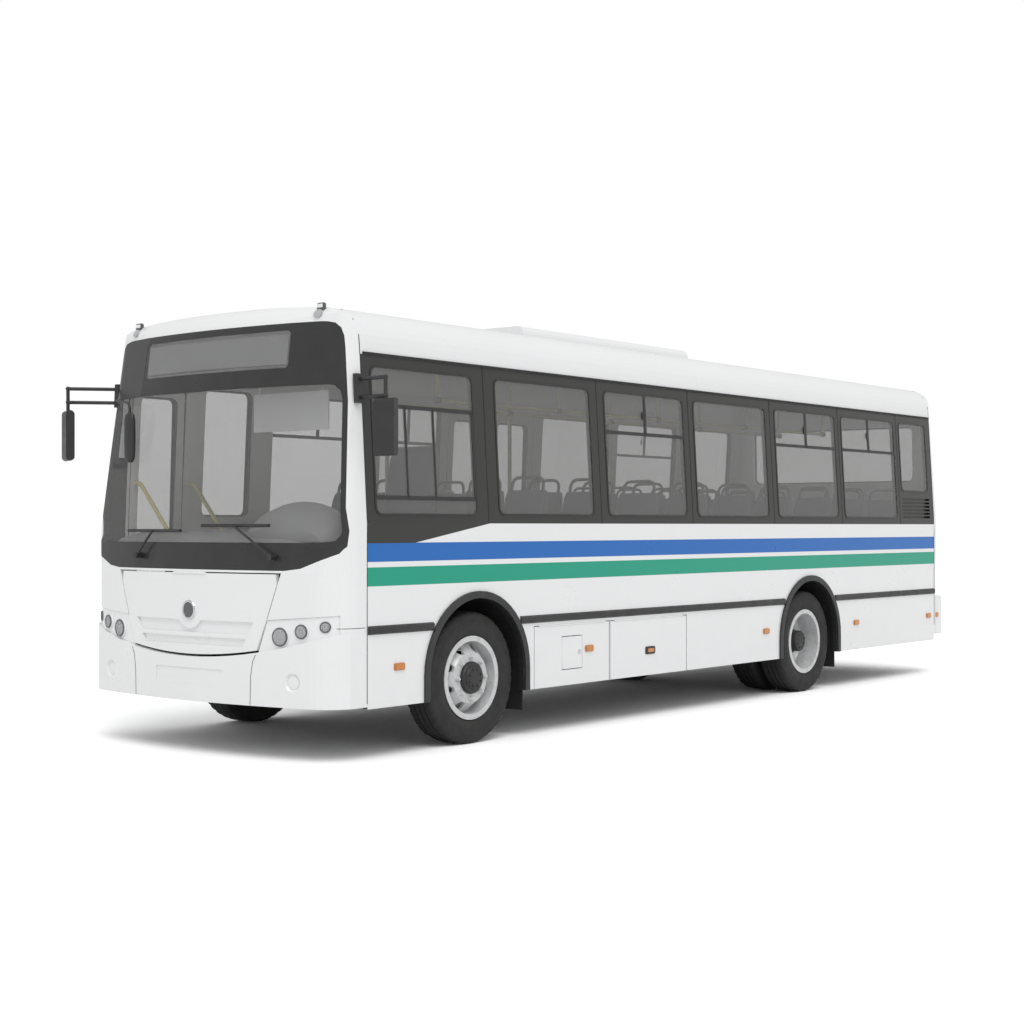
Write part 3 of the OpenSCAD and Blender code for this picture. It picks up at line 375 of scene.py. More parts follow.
def lens(name, deep, pale):
    """Ribbed coloured plastic, with painted highlights on the ribs' crests and painted shade in their
    troughs.
    """
    f = Finish(name, coat_weight=0.8, coat_roughness=0.03, ior=1.5)
    ribs = f.ridges(0, 900)
    # Painted highlight and shade: the ribs' crests take the pale shade and their troughs the deep one, in
    # step with the bump
    f.shade(f.span(ribs, -1, 1), deep, pale)
    f.set("emission color", pale)
    f.set("emission strength", 0.06)
    f.rough(30, 0.1, 0.2)
    f.bump(ribs, 0.25, 0.001)
    return f.material


PANE = {"ior": 1.5, "coat_weight": 0.6, "coat_roughness": 0.01}
PANE_ROUGH = (14, 0.015, 0.05, 5, 0.8)
# Shades, scale of their patches, roughness and the shader's other values
SMOOTH = {
    "glass": ((0.22, 0.22, 0.216), (0.24, 0.24, 0.236), 0.8, PANE_ROUGH, {**PANE, "alpha": 0.36}),
    # The windscreen is clearer than the tinted side panes
    "screen_glass": ((0.34, 0.34, 0.336), (0.37, 0.37, 0.366), 0.8, PANE_ROUGH, {**PANE, "alpha": 0.16}),
    "lamp_clear": ((0.7, 0.72, 0.74), (0.85, 0.87, 0.88), 40, (30, 0.03, 0.08),
                   {"ior": 1.5, "alpha": 0.14, "coat_weight": 1.0, "coat_roughness": 0.02}),
    "chrome": ((0.62, 0.63, 0.65), (0.72, 0.73, 0.74), 30, (60, 0.08, 0.16), {"metallic": 1.0}),
    "mirror_glass": ((0.6, 0.62, 0.64), (0.66, 0.68, 0.7), 4, (20, 0.015, 0.04), {"metallic": 1.0}),
}
# Shades, both ends of the roughness and, for the tyres, the scale of the grain
MOULDED = {
    "black_plastic": ((0.02, 0.02, 0.021), (0.035, 0.035, 0.037), 0.38, 0.55),
    "rubber": ((0.012, 0.012, 0.012), (0.024, 0.024, 0.025), 0.6, 0.75),
    "tyre": ((0.016, 0.016, 0.016), (0.034, 0.033, 0.032), 0.65, 0.85, 400),
    "grey_plastic": ((0.1, 0.103, 0.108), (0.135, 0.138, 0.145), 0.45, 0.6),
    "dash_plastic": ((0.21, 0.212, 0.214), (0.245, 0.247, 0.249), 0.5, 0.65),
    "pale_plastic": ((0.5, 0.503, 0.506), (0.56, 0.563, 0.566), 0.5, 0.65),
}
# Shades: deep in the ribs' painted-shade troughs, pale on their painted-highlight crests
LENSES = {
    "lamp_red": ((0.3, 0.008, 0.008), (0.55, 0.02, 0.016)),
    "lamp_amber": ((0.42, 0.13, 0.008), (0.66, 0.24, 0.025)),
}
# Finishes with a function of their own
SPECIAL = {make.__name__: make for make in (white_paint, side_paint, black_gloss, lamp_panel, reflector,
                                            rim_paint, dark_steel, floor_cover, seat_fabric,
                                            yellow_paint)}
FINISHES = {}


def finish(name):
    """The named material, made when it is first asked for."""
    if name not in FINISHES:
        if name in SPECIAL:
            FINISHES[name] = SPECIAL[name](name)
        for make, rows in ((smooth, SMOOTH), (moulded, MOULDED), (lens, LENSES)):
            if name in rows:
                FINISHES[name] = make(name, *rows[name])
    return FINISHES[name]


# Finish of each node of the frame that stays in view

NODE_FINISH = {
    "white_paint": ["front_cap", "front_bumper", "rear_bumper", "roof", "roof_pod", "rear_cap",
                    "hatch_fore", "hatch_aft", "fuel_flap", "engine_lid", "front_flap"],
    "side_paint": ["left_wall", "right_wall", "front_door", "mid_door_fore", "mid_door_aft"],
    "black_gloss": ["windscreen_surround"],
    "screen_glass": ["windscreen"],
    "glass": ["left_glass", "right_glass", "rear_glass", "front_door_glass",
              "mid_door_fore_glass", "mid_door_aft_glass"],
    "lamp_panel": ["front_lamps"],
    "lamp_red": ["rear_lamps"],
    "lamp_amber": ["side_lamps"],
    "black_plastic": ["side_trims", "mirrors", "wipers", "steering_wheel"],
    "rubber": ["mudflaps", "wheel_boxes"],
    "tyre": ["tyre_front_left", "tyre_front_right", "tyres_rear_left", "tyres_rear_right"],
    "rim_paint": ["rim_front_left", "rim_front_right", "rim_rear_left", "rim_rear_right"],
    "dark_steel": ["chassis_frame", "front_axle", "rear_axle", "knuckle_left", "knuckle_right",
                   "engine", "fuel_tank"],
    "dash_plastic": ["dashboard"],
    "grey_plastic": ["driver_partition"],
    "floor_cover": ["floor"],
    "seat_fabric": ["seats"],
    "yellow_paint": ["handrails"],
}


class BUS_OT_finishes(bpy.types.Operator):
    """Give every piece of the frame its finish."""

    bl_idname = "bus.finishes"
    bl_label = "Finishes"

    def execute(self, context):
        for name, nodes in NODE_FINISH.items():
            for node in nodes:
                obj = NODES[node]
                obj.data.materials.clear()
                obj.data.materials.append(finish(name))
        return {"FINISHED"}


# Meshes


def piece(name, bm, look, body="body", slot=None, sharp=35):
    """Turns bm into an object that rides on a body of the frame."""
    bmesh.ops.recalc_face_normals(bm, faces=bm.faces)
    for face in bm.faces:
        face.smooth = True
    mesh = bpy.data.meshes.new(name)
    bm.to_mesh(mesh)
    bm.free()
    mesh.set_sharp_from_angle(angle=math.radians(sharp))
    mesh.materials.append(finish(look))
    obj = bpy.data.objects.new(name, mesh)
    bpy.context.scene.collection.objects.link(obj)
    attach(obj, body)
    slot or look
    return obj


def loft(bm, rings, joined=False):
    """Skin over closed rings of points; joined runs from the last ring back to the first."""
    rows = [[bm.verts.new(p) for p in ring] for ring in rings]
    pairs = list(zip(rows, rows[1:]))
    if joined:
        pairs.append((rows[-1], rows[0]))
    else:
        bm.faces.new(rows[0])
        bm.faces.new(rows[-1])
    for a, b in pairs:
        for i in range(len(a)):
            bm.faces.new((a[i - 1], a[i], b[i], b[i - 1]))


def rounded(width, height, radius, steps=4):
    """Outline of a rectangle with round corners, about its middle."""
    points = []
    for quarter, (sx, sy) in enumerate(((1, 1), (-1, 1), (-1, -1), (1, -1))):
        for i in range(steps + 1):
            a = math.pi / 2 * (quarter + i / steps)
            points.append((sx * (width / 2 - radius) + radius * math.cos(a),
                           sy * (height / 2 - radius) + radius * math.sin(a)))
    return points


def layers(bm, place, size, radius, steps, corners=4, ring=False):
    """Plate or ring with round corners; steps holds growth and distance out, place makes the points."""
    rings = []
    for grow, out in steps:
        bend = radius + grow if ring else radius
        outline = rounded(size[0] + 2 * grow, size[1] + 2 * grow, bend, corners)
        rings.append([place(u, v, out) for u, v in outline])
    loft(bm, rings, joined=ring)


def block(bm, low, high, bevel=0.003):
    """Box from corner to corner with bevelled edges."""
    low, high = Vector(low), Vector(high)
    size = Matrix.Diagonal((*(high - low), 1))
    made = bmesh.ops.create_cube(bm, matrix=Matrix.Translation((low + high) / 2) @ size)["verts"]
    edges = {edge for vert in made for edge in vert.link_edges}
    bmesh.ops.bevel(bm, geom=list(edges), offset=bevel, segments=2, affect="EDGES")


def bent(points, radius, steps=5):
    """The path through points with its corners rounded."""
    points = [Vector(p) for p in points]
    path = [points[0]]
    for before, at, after in zip(points, points[1:], points[2:]):
        back, on = (before - at).normalized(), (after - at).normalized()
        reach = min(radius, (before - at).length / 2, (after - at).length / 2)
        for i in range(steps + 1):
            t = i / steps
            path.append(at + back * reach * (1 - t) ** 2 + on * reach * t ** 2)
    return path + [points[-1]]


def tube(bm, path, radius, sides=10):
    """Round bar along a path."""
    path = [Vector(p) for p in path]
    across = (path[1] - path[0]).orthogonal().normalized()
    rings = []
    for i, at in enumerate(path):
        along = (path[min(i + 1, len(path) - 1)] - path[max(i - 1, 0)]).normalized()
        across = (across - along * across.dot(along)).normalized()
        up = along.cross(across)
        turns = [math.tau * k / sides for k in range(sides)]
        rings.append([at + radius * (across * math.cos(a) + up * math.sin(a)) for a in turns])
    loft(bm, rings)


def turned(bm, profile, centre, axis, steps=32):
    """Round piece; profile holds radius and distance along the axis, from end to end."""
    centre, axis = Vector(centre), Vector(axis).normalized()
    across = axis.orthogonal().normalized()
    up = axis.cross(across)
    turns = [math.tau * k / steps for k in range(steps)]
    loft(bm, [[centre + axis * along + radius * (across * math.cos(a) + up * math.sin(a)) for a in turns]
              for radius, along in profile])


def islands(node):
    """(low corner, high corner) of each separate solid of a node."""
    bm = bmesh.new()
    bm.from_mesh(NODES[node].data)
    bmesh.ops.remove_doubles(bm, verts=bm.verts, dist=1e-5)
    left, boxes = set(bm.verts), []
    while left:
        wave = [left.pop()]
        low, high = wave[0].co.copy(), wave[0].co.copy()
        while wave:
            vert = wave.pop()
            for i in range(3):
                low[i], high[i] = min(low[i], vert.co[i]), max(high[i], vert.co[i])
            near = {edge.other_vert(vert) for edge in vert.link_edges} & left
            left -= near
            wave.extend(near)
        boxes.append((low, high))
    bm.free()
    return sorted(boxes, key=lambda box: -box[1].x)


def side_y(z):
    """Half width of the body at a height."""
    s = bus().section
    return HALF_W - max(0, z - s.waist_h) * math.tan(s.lean)


def front_x(y, z, proud=0.0):
    """Place of the front's face across and up the bus."""
    s = bus().section
    bow = NOSE_X - s.bow_r + math.sqrt(s.bow_r ** 2 - y * y)
    return bow - max(0, z - s.brow_h) * math.tan(s.rake) + proud


def on_side(side, x, z, out=0.0):
    """Point on a side wall, a distance out of its face."""
    return Vector((x, side * (side_y(z) + out), z))


def side_strip(bm, side, x0, x1, z0, z1, low, high):
    """Flat bar on a side wall, between two distances out of its face."""
    corners = ((x0, z0), (x1, z0), (x1, z1), (x0, z1))
    loft(bm, [[on_side(side, x, z, out) for x, z in corners] for out in (low, high)])


def on_skin(nodes, rays):
    """First point that each ray, a start and an aim, meets on some nodes of the frame."""
    bm = bmesh.new()
    for node in nodes:
        bm.from_mesh(NODES[node].data)
    tree = BVHTree.FromBMesh(bm)
    bm.free()
    hits = [tree.ray_cast(start, aim - start)[0] for start, aim in rays]
    if None in hits:
        raise RuntimeError("A ray misses " + ", ".join(nodes))
    return hits


# Windows


class BUS_OT_windows(bpy.types.Operator):
    """Add the window gaskets, the slider bars, the gutters and the joints of the band."""

    bl_idname = "bus.windows"
    bl_label = "Windows"

    # Growth past the pane's edge, distance out of the face
    GASKET = [(0.002, -0.004), (0.002, 0.004), (-0.014, 0.004), (-0.014, -0.001)]
    PANE_R = 0.06
    BAR_W = 0.026
    # Panes closer than this share a joint
    JOINT_GAP = 0.4
    # Node of each set of panes, the body it rides on and its side
    PANES = [("left_glass", "body", 1), ("right_glass", "body", -1),
             ("front_door_glass", "front_door", -1), ("mid_door_fore_glass", "mid_door_fore", -1),
             ("mid_door_aft_glass", "mid_door_aft", -1)]
    # Panes with a sliding upper sash, counted from the front, and the height of its low bar
    SASHES = {"left_glass": (2, 4, 5), "right_glass": (1, 2, 4)}
    SASH_H = 2.265
    # Driver's window: heights of its bars, and its sliders from the front axle
    DRIVER_BARS = (2.328, 1.72)
    DRIVER_SLIDERS = (0.713, 0.43)

    def execute(self, context):
        for node, body, side in self.PANES:
            panes = islands(node)
            bm = bmesh.new()
            for low, high in panes:
                self.gasket(bm, side, low, high)
            piece(node + "_gaskets", bm, "black_gloss", body)
            if node in self.SASHES:
                bm = bmesh.new()
                for i in self.SASHES[node]:
                    self.sash(bm, side, *panes[i])
                if side > 0:
                    self.driver(bm, side, *panes[0])
                piece(node + "_bars", bm, "black_plastic")
        self.gutters()
        self.joints()
        return {"FINISHED"}

    def gasket(self, bm, side, low, high):
        mid, size = (low + high) / 2, high - low
        layers(bm, lambda u, v, out: on_side(side, mid.x + u, mid.z + v, out), (size.x, size.z), self.PANE_R,
               self.GASKET, 6, ring=True)

    def bar(self, bm, side, x0, x1, z0, z1):
        side_strip(bm, side, x0, x1, z0, z1, -0.012, 0.003)

    def sash(self, bm, side, low, high):
        half, mid = self.BAR_W / 2, (low.x + high.x) / 2
        self.bar(bm, side, low.x + 0.01, high.x - 0.01, self.SASH_H - half, self.SASH_H + half)
        self.bar(bm, side, mid - half, mid + half, self.SASH_H, high.z - 0.01)
        # Catch beside the middle bar
        side_strip(bm, side, mid + 0.03, mid + 0.05, self.SASH_H + 0.12, self.SASH_H + 0.18, -0.001, 0.012)

    def driver(self, bm, side, low, high):
        half = self.BAR_W / 2
        top, bottom = self.DRIVER_BARS
        for z in self.DRIVER_BARS:
            self.bar(bm, side, low.x + 0.01, high.x - 0.01, z - half, z + half)
        for x in self.DRIVER_SLIDERS:
            self.bar(bm, side, AXLE_F + x - 0.3 * half, AXLE_F + x + 0.7 * half, bottom, top)
        self.bar(bm, side, low.x + 0.008, low.x + 0.03, bottom, top)

    def gutters(self):
        high = bus().paint.band_high
        bm = bmesh.new()
        for side in (1, -1):
            side_strip(bm, side, SEAM_R + 0.01, SEAM_F - 0.02, high, high + 0.016, -0.002, 0.012)
        piece("gutters", bm, "rubber")

    def joints(self):
        """Joints between the glass sheets of the band."""
        p = bus().paint
        bm = bmesh.new()
        for node, side in (("left_glass", 1), ("right_glass", -1)):
            panes = islands(node)
            for ahead, behind in zip(panes, panes[1:]):
                x = (ahead[0].x + behind[1].x) / 2
                if ahead[0].x - behind[1].x < self.JOINT_GAP:
                    side_strip(bm, side, x - 0.004, x + 0.004, p.band_low, p.band_high, -0.002, 0.0015)
        piece("band_joints", bm, "rubber")


# Wheels


class BUS_OT_wheels(bpy.types.Operator):
    """Add the treaded tyres, the hub caps and the wheel nuts."""

    bl_idname = "bus.wheels"
    bl_label = "Wheels"

    # Node of the tyres, node of the rim, body
    SETS = [("tyre_front_left", "rim_front_left", "wheel_front_left"),
            ("tyre_front_right", "rim_front_right", "wheel_front_right"),
            ("tyres_rear_left", "rim_rear_left", "wheels_rear_left"),
            ("tyres_rear_right", "rim_rear_right", "wheels_rear_right")]
    STEPS = 240
    GROOVES = (0.0, 0.047)
    GROOVE_W = 0.0055
    GROOVE_D = 0.011
    NOTCH_D = 0.005
    WAVE = 0.003
    # Shoulder: distance from the tyre's middle, drop from the crown, share of a notch
    SHOULDER = [(0.078, 0.0, 1), (0.096, 0.002, 1), (0.108, 0.009, 1), (0.1155, 0.021, 0.5),
                (0.1185, 0.034, 0)]
    # Sidewall with two moulded ribs: distance from the tyre's middle, radius
    WALL = [(0.1215, 0.419), (0.1235, 0.402), (0.1255, 0.400), (0.1255, 0.396), (0.124, 0.394),
            (0.1268, 0.37), (0.1268, 0.35), (0.1225, 0.33), (0.1205, 0.327), (0.119, 0.316),
            (0.112, 0.303), (0.104, 0.299), (0.095, 0.2845)]
    # Hub caps: radius, distance out of the wheel's face
    FRONT_CAP = [(0.0005, 0.046), (0.05, 0.046), (0.074, 0.043), (0.082, 0.037), (0.085, 0.03),
                 (0.104, 0.028), (0.112, 0.02), (0.115, 0.004), (0.115, 0.0003), (0.0005, 0.0003)]
    REAR_CAP = [(0.0005, 0.03), (0.07, 0.03), (0.088, 0.026), (0.096, 0.014), (0.098, -0.06), (0.112, -0.064),
                (0.116, -0.07), (0.116, -0.09), (0.0005, -0.09)]
    CAP_BOLT_R = 0.062
    # Washer, nut and stud: number of sides, then radius and distance out of the wheel's face
    NUT = [(20, [(0.023, 0.0), (0.023, 0.004), (0.0215, 0.006)]),
           (6, [(0.0175, 0.005), (0.0175, 0.017), (0.0145, 0.02)]),
           (12, [(0.0105, 0.015), (0.0105, 0.026), (0.0085, 0.029)])]
    # Nuts, cap bolts and hand holes on one wheel
    COUNT = 8
    NUT_R = 0.148
    # Bent valve: radius, distance out of the wheel's face
    VALVE = [(0.212, -0.09), (0.212, -0.02), (0.192, 0.01)]
    # Wheel faces: out from the middle of the front tyre and of the rear rim; rear cap: in from the rim's edge
    FRONT_FACE = 0.103
    REAR_FACE = 0.016
    REAR_CAP_IN = 0.07

    def execute(self, context):
        for tyres, rim, body in self.SETS:
            bm = bmesh.new()
            for low, high in islands(tyres):
                self.tyre(bm, (low + high) / 2)
            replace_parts(piece(tyres + "_tread", bm, "tyre", body, sharp=30), tyres)
            side = math.copysign(1, middle(rim).y)
            centre = Vector((middle(rim).x, 0, HUB_H))
            if "front" in rim:
                face = abs(middle(tyres).y) + self.FRONT_FACE
                self.cap(rim, body, centre + Vector((0, side * face, 0)), side, self.FRONT_CAP)
            else:
                face = abs(middle(rim).y) + self.REAR_FACE
                edge = max(abs(corner.y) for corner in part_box(rim)) - self.REAR_CAP_IN
                self.cap(rim, body, centre + Vector((0, side * edge, 0)), side, self.REAR_CAP)
            self.nuts(rim, body, centre + Vector((0, side * face, 0)), side)
        return {"FINISHED"}

    def crown(self, step):
        """Half of the tread's section at one step round the tyre."""
        notch = self.NOTCH_D if step % 6 < 2 else 0.0
        wave = self.WAVE * (2 * abs((step % 12) / 6 - 1) - 1)
        points = []
        for groove in self.GROOVES:
            near = groove + wave if groove else groove
            edges = [(-1.0, 0.0), (-0.7, self.GROOVE_D), (0.7, self.GROOVE_D), (1.0, 0.0)]
            points += [(near + share * self.GROOVE_W, TYRE_R - drop) for share, drop in edges]
        # The middle groove is on the tyre's middle, so its near half is left out
        points[:2] = [(0.0, TYRE_R - self.GROOVE_D)]
        return points + [(y, TYRE_R - drop - share * notch) for y, drop, share in self.SHOULDER]

    def tyre(self, bm, centre):
        rings = []
        for step in range(self.STEPS):
            half = self.crown(step) + self.WALL
            section = [(-y, r) for y, r in reversed(half[1:])] + half
            a = math.tau * step / self.STEPS
            rings.append([centre + Vector((r * math.cos(a), y, r * math.sin(a))) for y, r in section])
        loft(bm, rings, joined=True)

    def spots(self, face, radius, start):
        """Evenly spread places on a circle round the wheel's axis."""
        for k in range(self.COUNT):
            a = math.tau * (k + start) / self.COUNT
            yield face + radius * Vector((math.cos(a), 0, math.sin(a)))

    def cap(self, rim, body, face, side, profile):
        bm = bmesh.new()
        turned(bm, profile, face, (0, side, 0), 48)
        top = profile[0][1]
        for spot in self.spots(face, self.CAP_BOLT_R, 0.5):
            turned(bm, [(0.007, top + 0.006), (0.008, top - 0.004)], spot, (0, side, 0), 6)
        piece(rim + "_hub", bm, "black_plastic", body)

    def nuts(self, rim, body, face, side):
        bm = bmesh.new()
        for spot in self.spots(face, self.NUT_R, 0):
            for sides, profile in self.NUT:
                turned(bm, profile, spot, (0, side, 0), sides)
        # The valve comes out through a hand hole
        a = math.pi / self.COUNT
        stem = [face + Vector((r * math.sin(a), side * out, r * math.cos(a))) for r, out in self.VALVE]
        tube(bm, stem, 0.005, 8)
        piece(rim + "_nuts", bm, "rim_paint", body)


# Front


class BUS_OT_front(bpy.types.Operator):
    """Add the headlamps, the blank badge, the fog covers, the seams, the roof lamps and the near mirror."""

    bl_idname = "bus.front"
    bl_label = "Front"

    # Distance from the middle, height, lens radius, turn outward and set-back of each lamp
    LAMPS = [(0.812, 0.811, 0.058, 9, 0.0), (0.977, 0.850, 0.044, 12, 0.0), (1.124, 0.882, 0.033, 34, 0.038)]
    # How far a lamp stands out along its axis, and the share of its set-back added to that
    LAMP_OUT = (0.006, 0.22)
    # Section of a lamp's ring: distance from the lens edge and along the axis
    RING = [(-0.008, 0.0005), (-0.006, 0.007), (-0.002, 0.009), (0.003, 0.006), (0.005, -0.004),
            (-0.004, -0.006)]
    # Section of a lamp's bowl: share of the lens radius, and distance along the axis
    BOWL = [(0.2, 0.0022), (0.3, 0.004), (0.55, 0.001), (0.9, 0.0055), (0.92, 0.0)]
    # Angles from the axis across a lamp's glass, and its share of the lens radius
    DOME = (0.005, 0.35, 0.7, 1.05, 1.3, 1.5)
    DOME_R = 0.93
    FOG = (0.920, 0.520)
    FOG_COVER = [(0.0005, -0.0075), (0.03, -0.008), (0.043, -0.0105), (0.045, -0.0138)]
    BADGE_H = 0.967
    BADGE_RING = [(0.05, 0.0075), (0.052, 0.0125), (0.058, 0.0145), (0.064, 0.0125), (0.067, 0.0075)]
    BADGE_FIELD = [(0.0005, 0.0118), (0.02, 0.0114), (0.04, 0.0098), (0.052, 0.0082), (0.052, 0.006)]
    # Seams round both caps: low ends, then the height and the angles of their rays over the roof
    SEAM_LOW = (0.375, 0.5)
    SEAM_MID = 2.1
    SEAM_TURNS = (10, 170, 5)
    # Joint from the lamp panel to the seam: its height, where its rays aim across, and their angles
    SIDE_JOINT = (0.871, 0.95)
    SIDE_TURNS = (47, 89, 3)
    # Width, depth and height of a roof lamp, and the height that the roof lamps lie above
    MARKER = (0.066, 0.03, 0.042)
    MARKER_H = 2.5
    # Near mirror: its arm's foot and its hanging point, across and up
    NEAR_FOOT = (-1.07, 2.44)
    NEAR_HANG = (-0.74, 2.31)
    # Near mirror's head: drop, half width, half depth
    NEAR_HEAD = [(0.0, 0.03, 0.012), (0.012, 0.044, 0.022), (0.05, 0.05, 0.03), (0.2, 0.05, 0.032),
                 (0.31, 0.047, 0.028), (0.338, 0.038, 0.02), (0.35, 0.024, 0.01)]
    # Ends of the bumper's joints: distance from the middle and height
    JOINT = ((0.579, 0.36), (0.585, 0.55), (0.600, 0.64), (0.625, 0.69))

    def execute(self, context):
        self.lamps()
        self.badge()
        self.fog()
        self.joints()
        self.seams()
        self.markers()
        self.near_mirror()
        return {"FINISHED"}

    def seams(self):
        """Seams round both caps, and the joints beside the lamp panels."""
        bm = bmesh.new()
        mid = self.SEAM_MID
        for x, low, nodes in ((SEAM_F + 0.003, self.SEAM_LOW[0], ["front_cap", "front_bumper"]),
                              (SEAM_R - 0.003, self.SEAM_LOW[1], ["rear_cap", "rear_bumper"])):
            levels = [low + (mid - low) * k / 10 for k in range(11)]
            sides = [[(Vector((x, side * 3, z)), Vector((x, 0, z))) for z in levels] for side in (1, -1)]
            turns = [math.radians(a) for a in range(*self.SEAM_TURNS)]
            over = [(Vector((x, 4 * math.cos(a), mid + 4 * math.sin(a))), Vector((x, 0, mid))) for a in turns]
            tube(bm, on_skin(nodes, sides[0] + over + sides[1][::-1]), 0.003, 6)
        z, y = self.SIDE_JOINT
        turns = [math.radians(a) for a in range(*self.SIDE_TURNS)]
        for side in (1, -1):
            mid = Vector((SEAM_F, side * y, z))
            rays = [(mid + 3 * Vector((math.cos(a), side * math.sin(a), 0)), mid) for a in turns]
            tube(bm, on_skin(["front_cap", "front_bumper", "front_lamps"], rays), 0.002, 6)
        piece("cap_seams", bm, "rubber")

    def markers(self):
        """Small lamps that stand on the front edge of the roof."""
        wide, deep, tall = self.MARKER
        shells, lenses = bmesh.new(), bmesh.new()
        for low, high in islands("front_lamps"):
            if low.z < self.MARKER_H:
                continue
            x, y = (low.x + high.x) / 2 - 0.025, (low.y + high.y) / 2
            foot = on_skin(["front_cap", "roof"], [(Vector((x, y, 5)), Vector((x, y, 0)))])[0].z
            block(shells, (x - deep / 2, y - wide / 2, foot - 0.006),
                  (x + deep / 2, y + wide / 2, foot + tall), 0.006)
            block(lenses, (x + 0.2 * deep, y - 0.38 * wide, foot + 0.009),
                  (x + deep / 2 + 0.004, y + 0.38 * wide, foot + tall - 0.008), 0.003)
        piece("marker_shells", shells, "grey_plastic")
        piece("marker_lenses", lenses, "white_paint", slot="lamp_clear")

    def near_mirror(self):
        """Small mirror that hangs before the windscreen, beside the far mirror's arm."""
        y, z = self.NEAR_FOOT
        ray = (Vector((7, y, z)), Vector((0, y, z)))
        foot = on_skin(["front_cap", "windscreen_surround", "windscreen"], [ray])[0]
        y, z = self.NEAR_HANG
        hang = Vector((front_x(y, z - 0.01) + 0.09, y, z))
        bm = bmesh.new()
        tube(bm, bent([foot - Vector((0.02, 0, 0)), foot + Vector((0.09, 0.05, 0)),
                       hang + Vector((0, 0, 0.09)), hang - Vector((0, 0, 0.06))], 0.06), 0.009)
        turns = [math.tau * k / 20 for k in range(20)]
        loft(bm, [[hang + Vector((deep * math.sin(a), half * math.cos(a), 0.02 - drop)) for a in turns]
                  for drop, half, deep in self.NEAR_HEAD])
        piece("near_mirror", bm, "black_plastic")

    def lamps(self):
        rings, bowls, glasses = bmesh.new(), bmesh.new(), bmesh.new()
        for side in (1, -1):
            for y, z, r, turn, back in self.LAMPS:
                a = math.radians(turn)
                axis = Vector((math.cos(a), side * math.sin(a), 0))
                out = self.LAMP_OUT[0] + self.LAMP_OUT[1] * back
                centre = Vector((front_x(y, z) - back, side * y, z)) + axis * out
                turned(rings, [(r + past, along) for past, along in self.RING], centre, axis, 40)
                bowl = [(0.0005, 0.002)] + [(share * r, along) for share, along in self.BOWL]
                turned(bowls, bowl, centre, axis, 24)
                edge = self.DOME_R * r
                dome = [(edge * math.sin(t), 0.007 + 0.006 * math.cos(t)) for t in self.DOME]
                turned(glasses, dome + [(edge, 0.004)], centre, axis, 40)
        piece("headlamp_rings", rings, "grey_plastic")
        piece("headlamp_bowls", bowls, "reflector", slot="lamp_clear")
        piece("headlamp_glasses", glasses, "lamp_clear")

    def badge(self):
        for name, profile, look, slot in (("badge_ring", self.BADGE_RING, "chrome", "rim_paint"),
                                          ("badge_field", self.BADGE_FIELD, "grey_plastic", None)):
            bm = bmesh.new()
            turned(bm, profile, (NOSE_X, 0, self.BADGE_H), (1, 0, 0), 48)
            piece(name, bm, look, "front_flap", slot)

    def fog(self):
        y, z = self.FOG
        a = math.asin(y / bus().section.bow_r)
        bm = bmesh.new()
        for side in (1, -1):
            centre = Vector((front_x(y, z, bus().section.bumper_proud), side * y, z))
            turned(bm, self.FOG_COVER, centre, (math.cos(a), side * math.sin(a), 0), 40)
        piece("fog_covers", bm, "white_paint")

    def joints(self):
        proud = bus().section.bumper_proud
        bm = bmesh.new()
        for side in (1, -1):
            tube(bm, [(front_x(y, z, proud), side * y, z) for y, z in self.JOINT], 0.0024, 8)
        piece("bumper_joints", bm, "grey_plastic")


# Side fittings, mirrors and rear


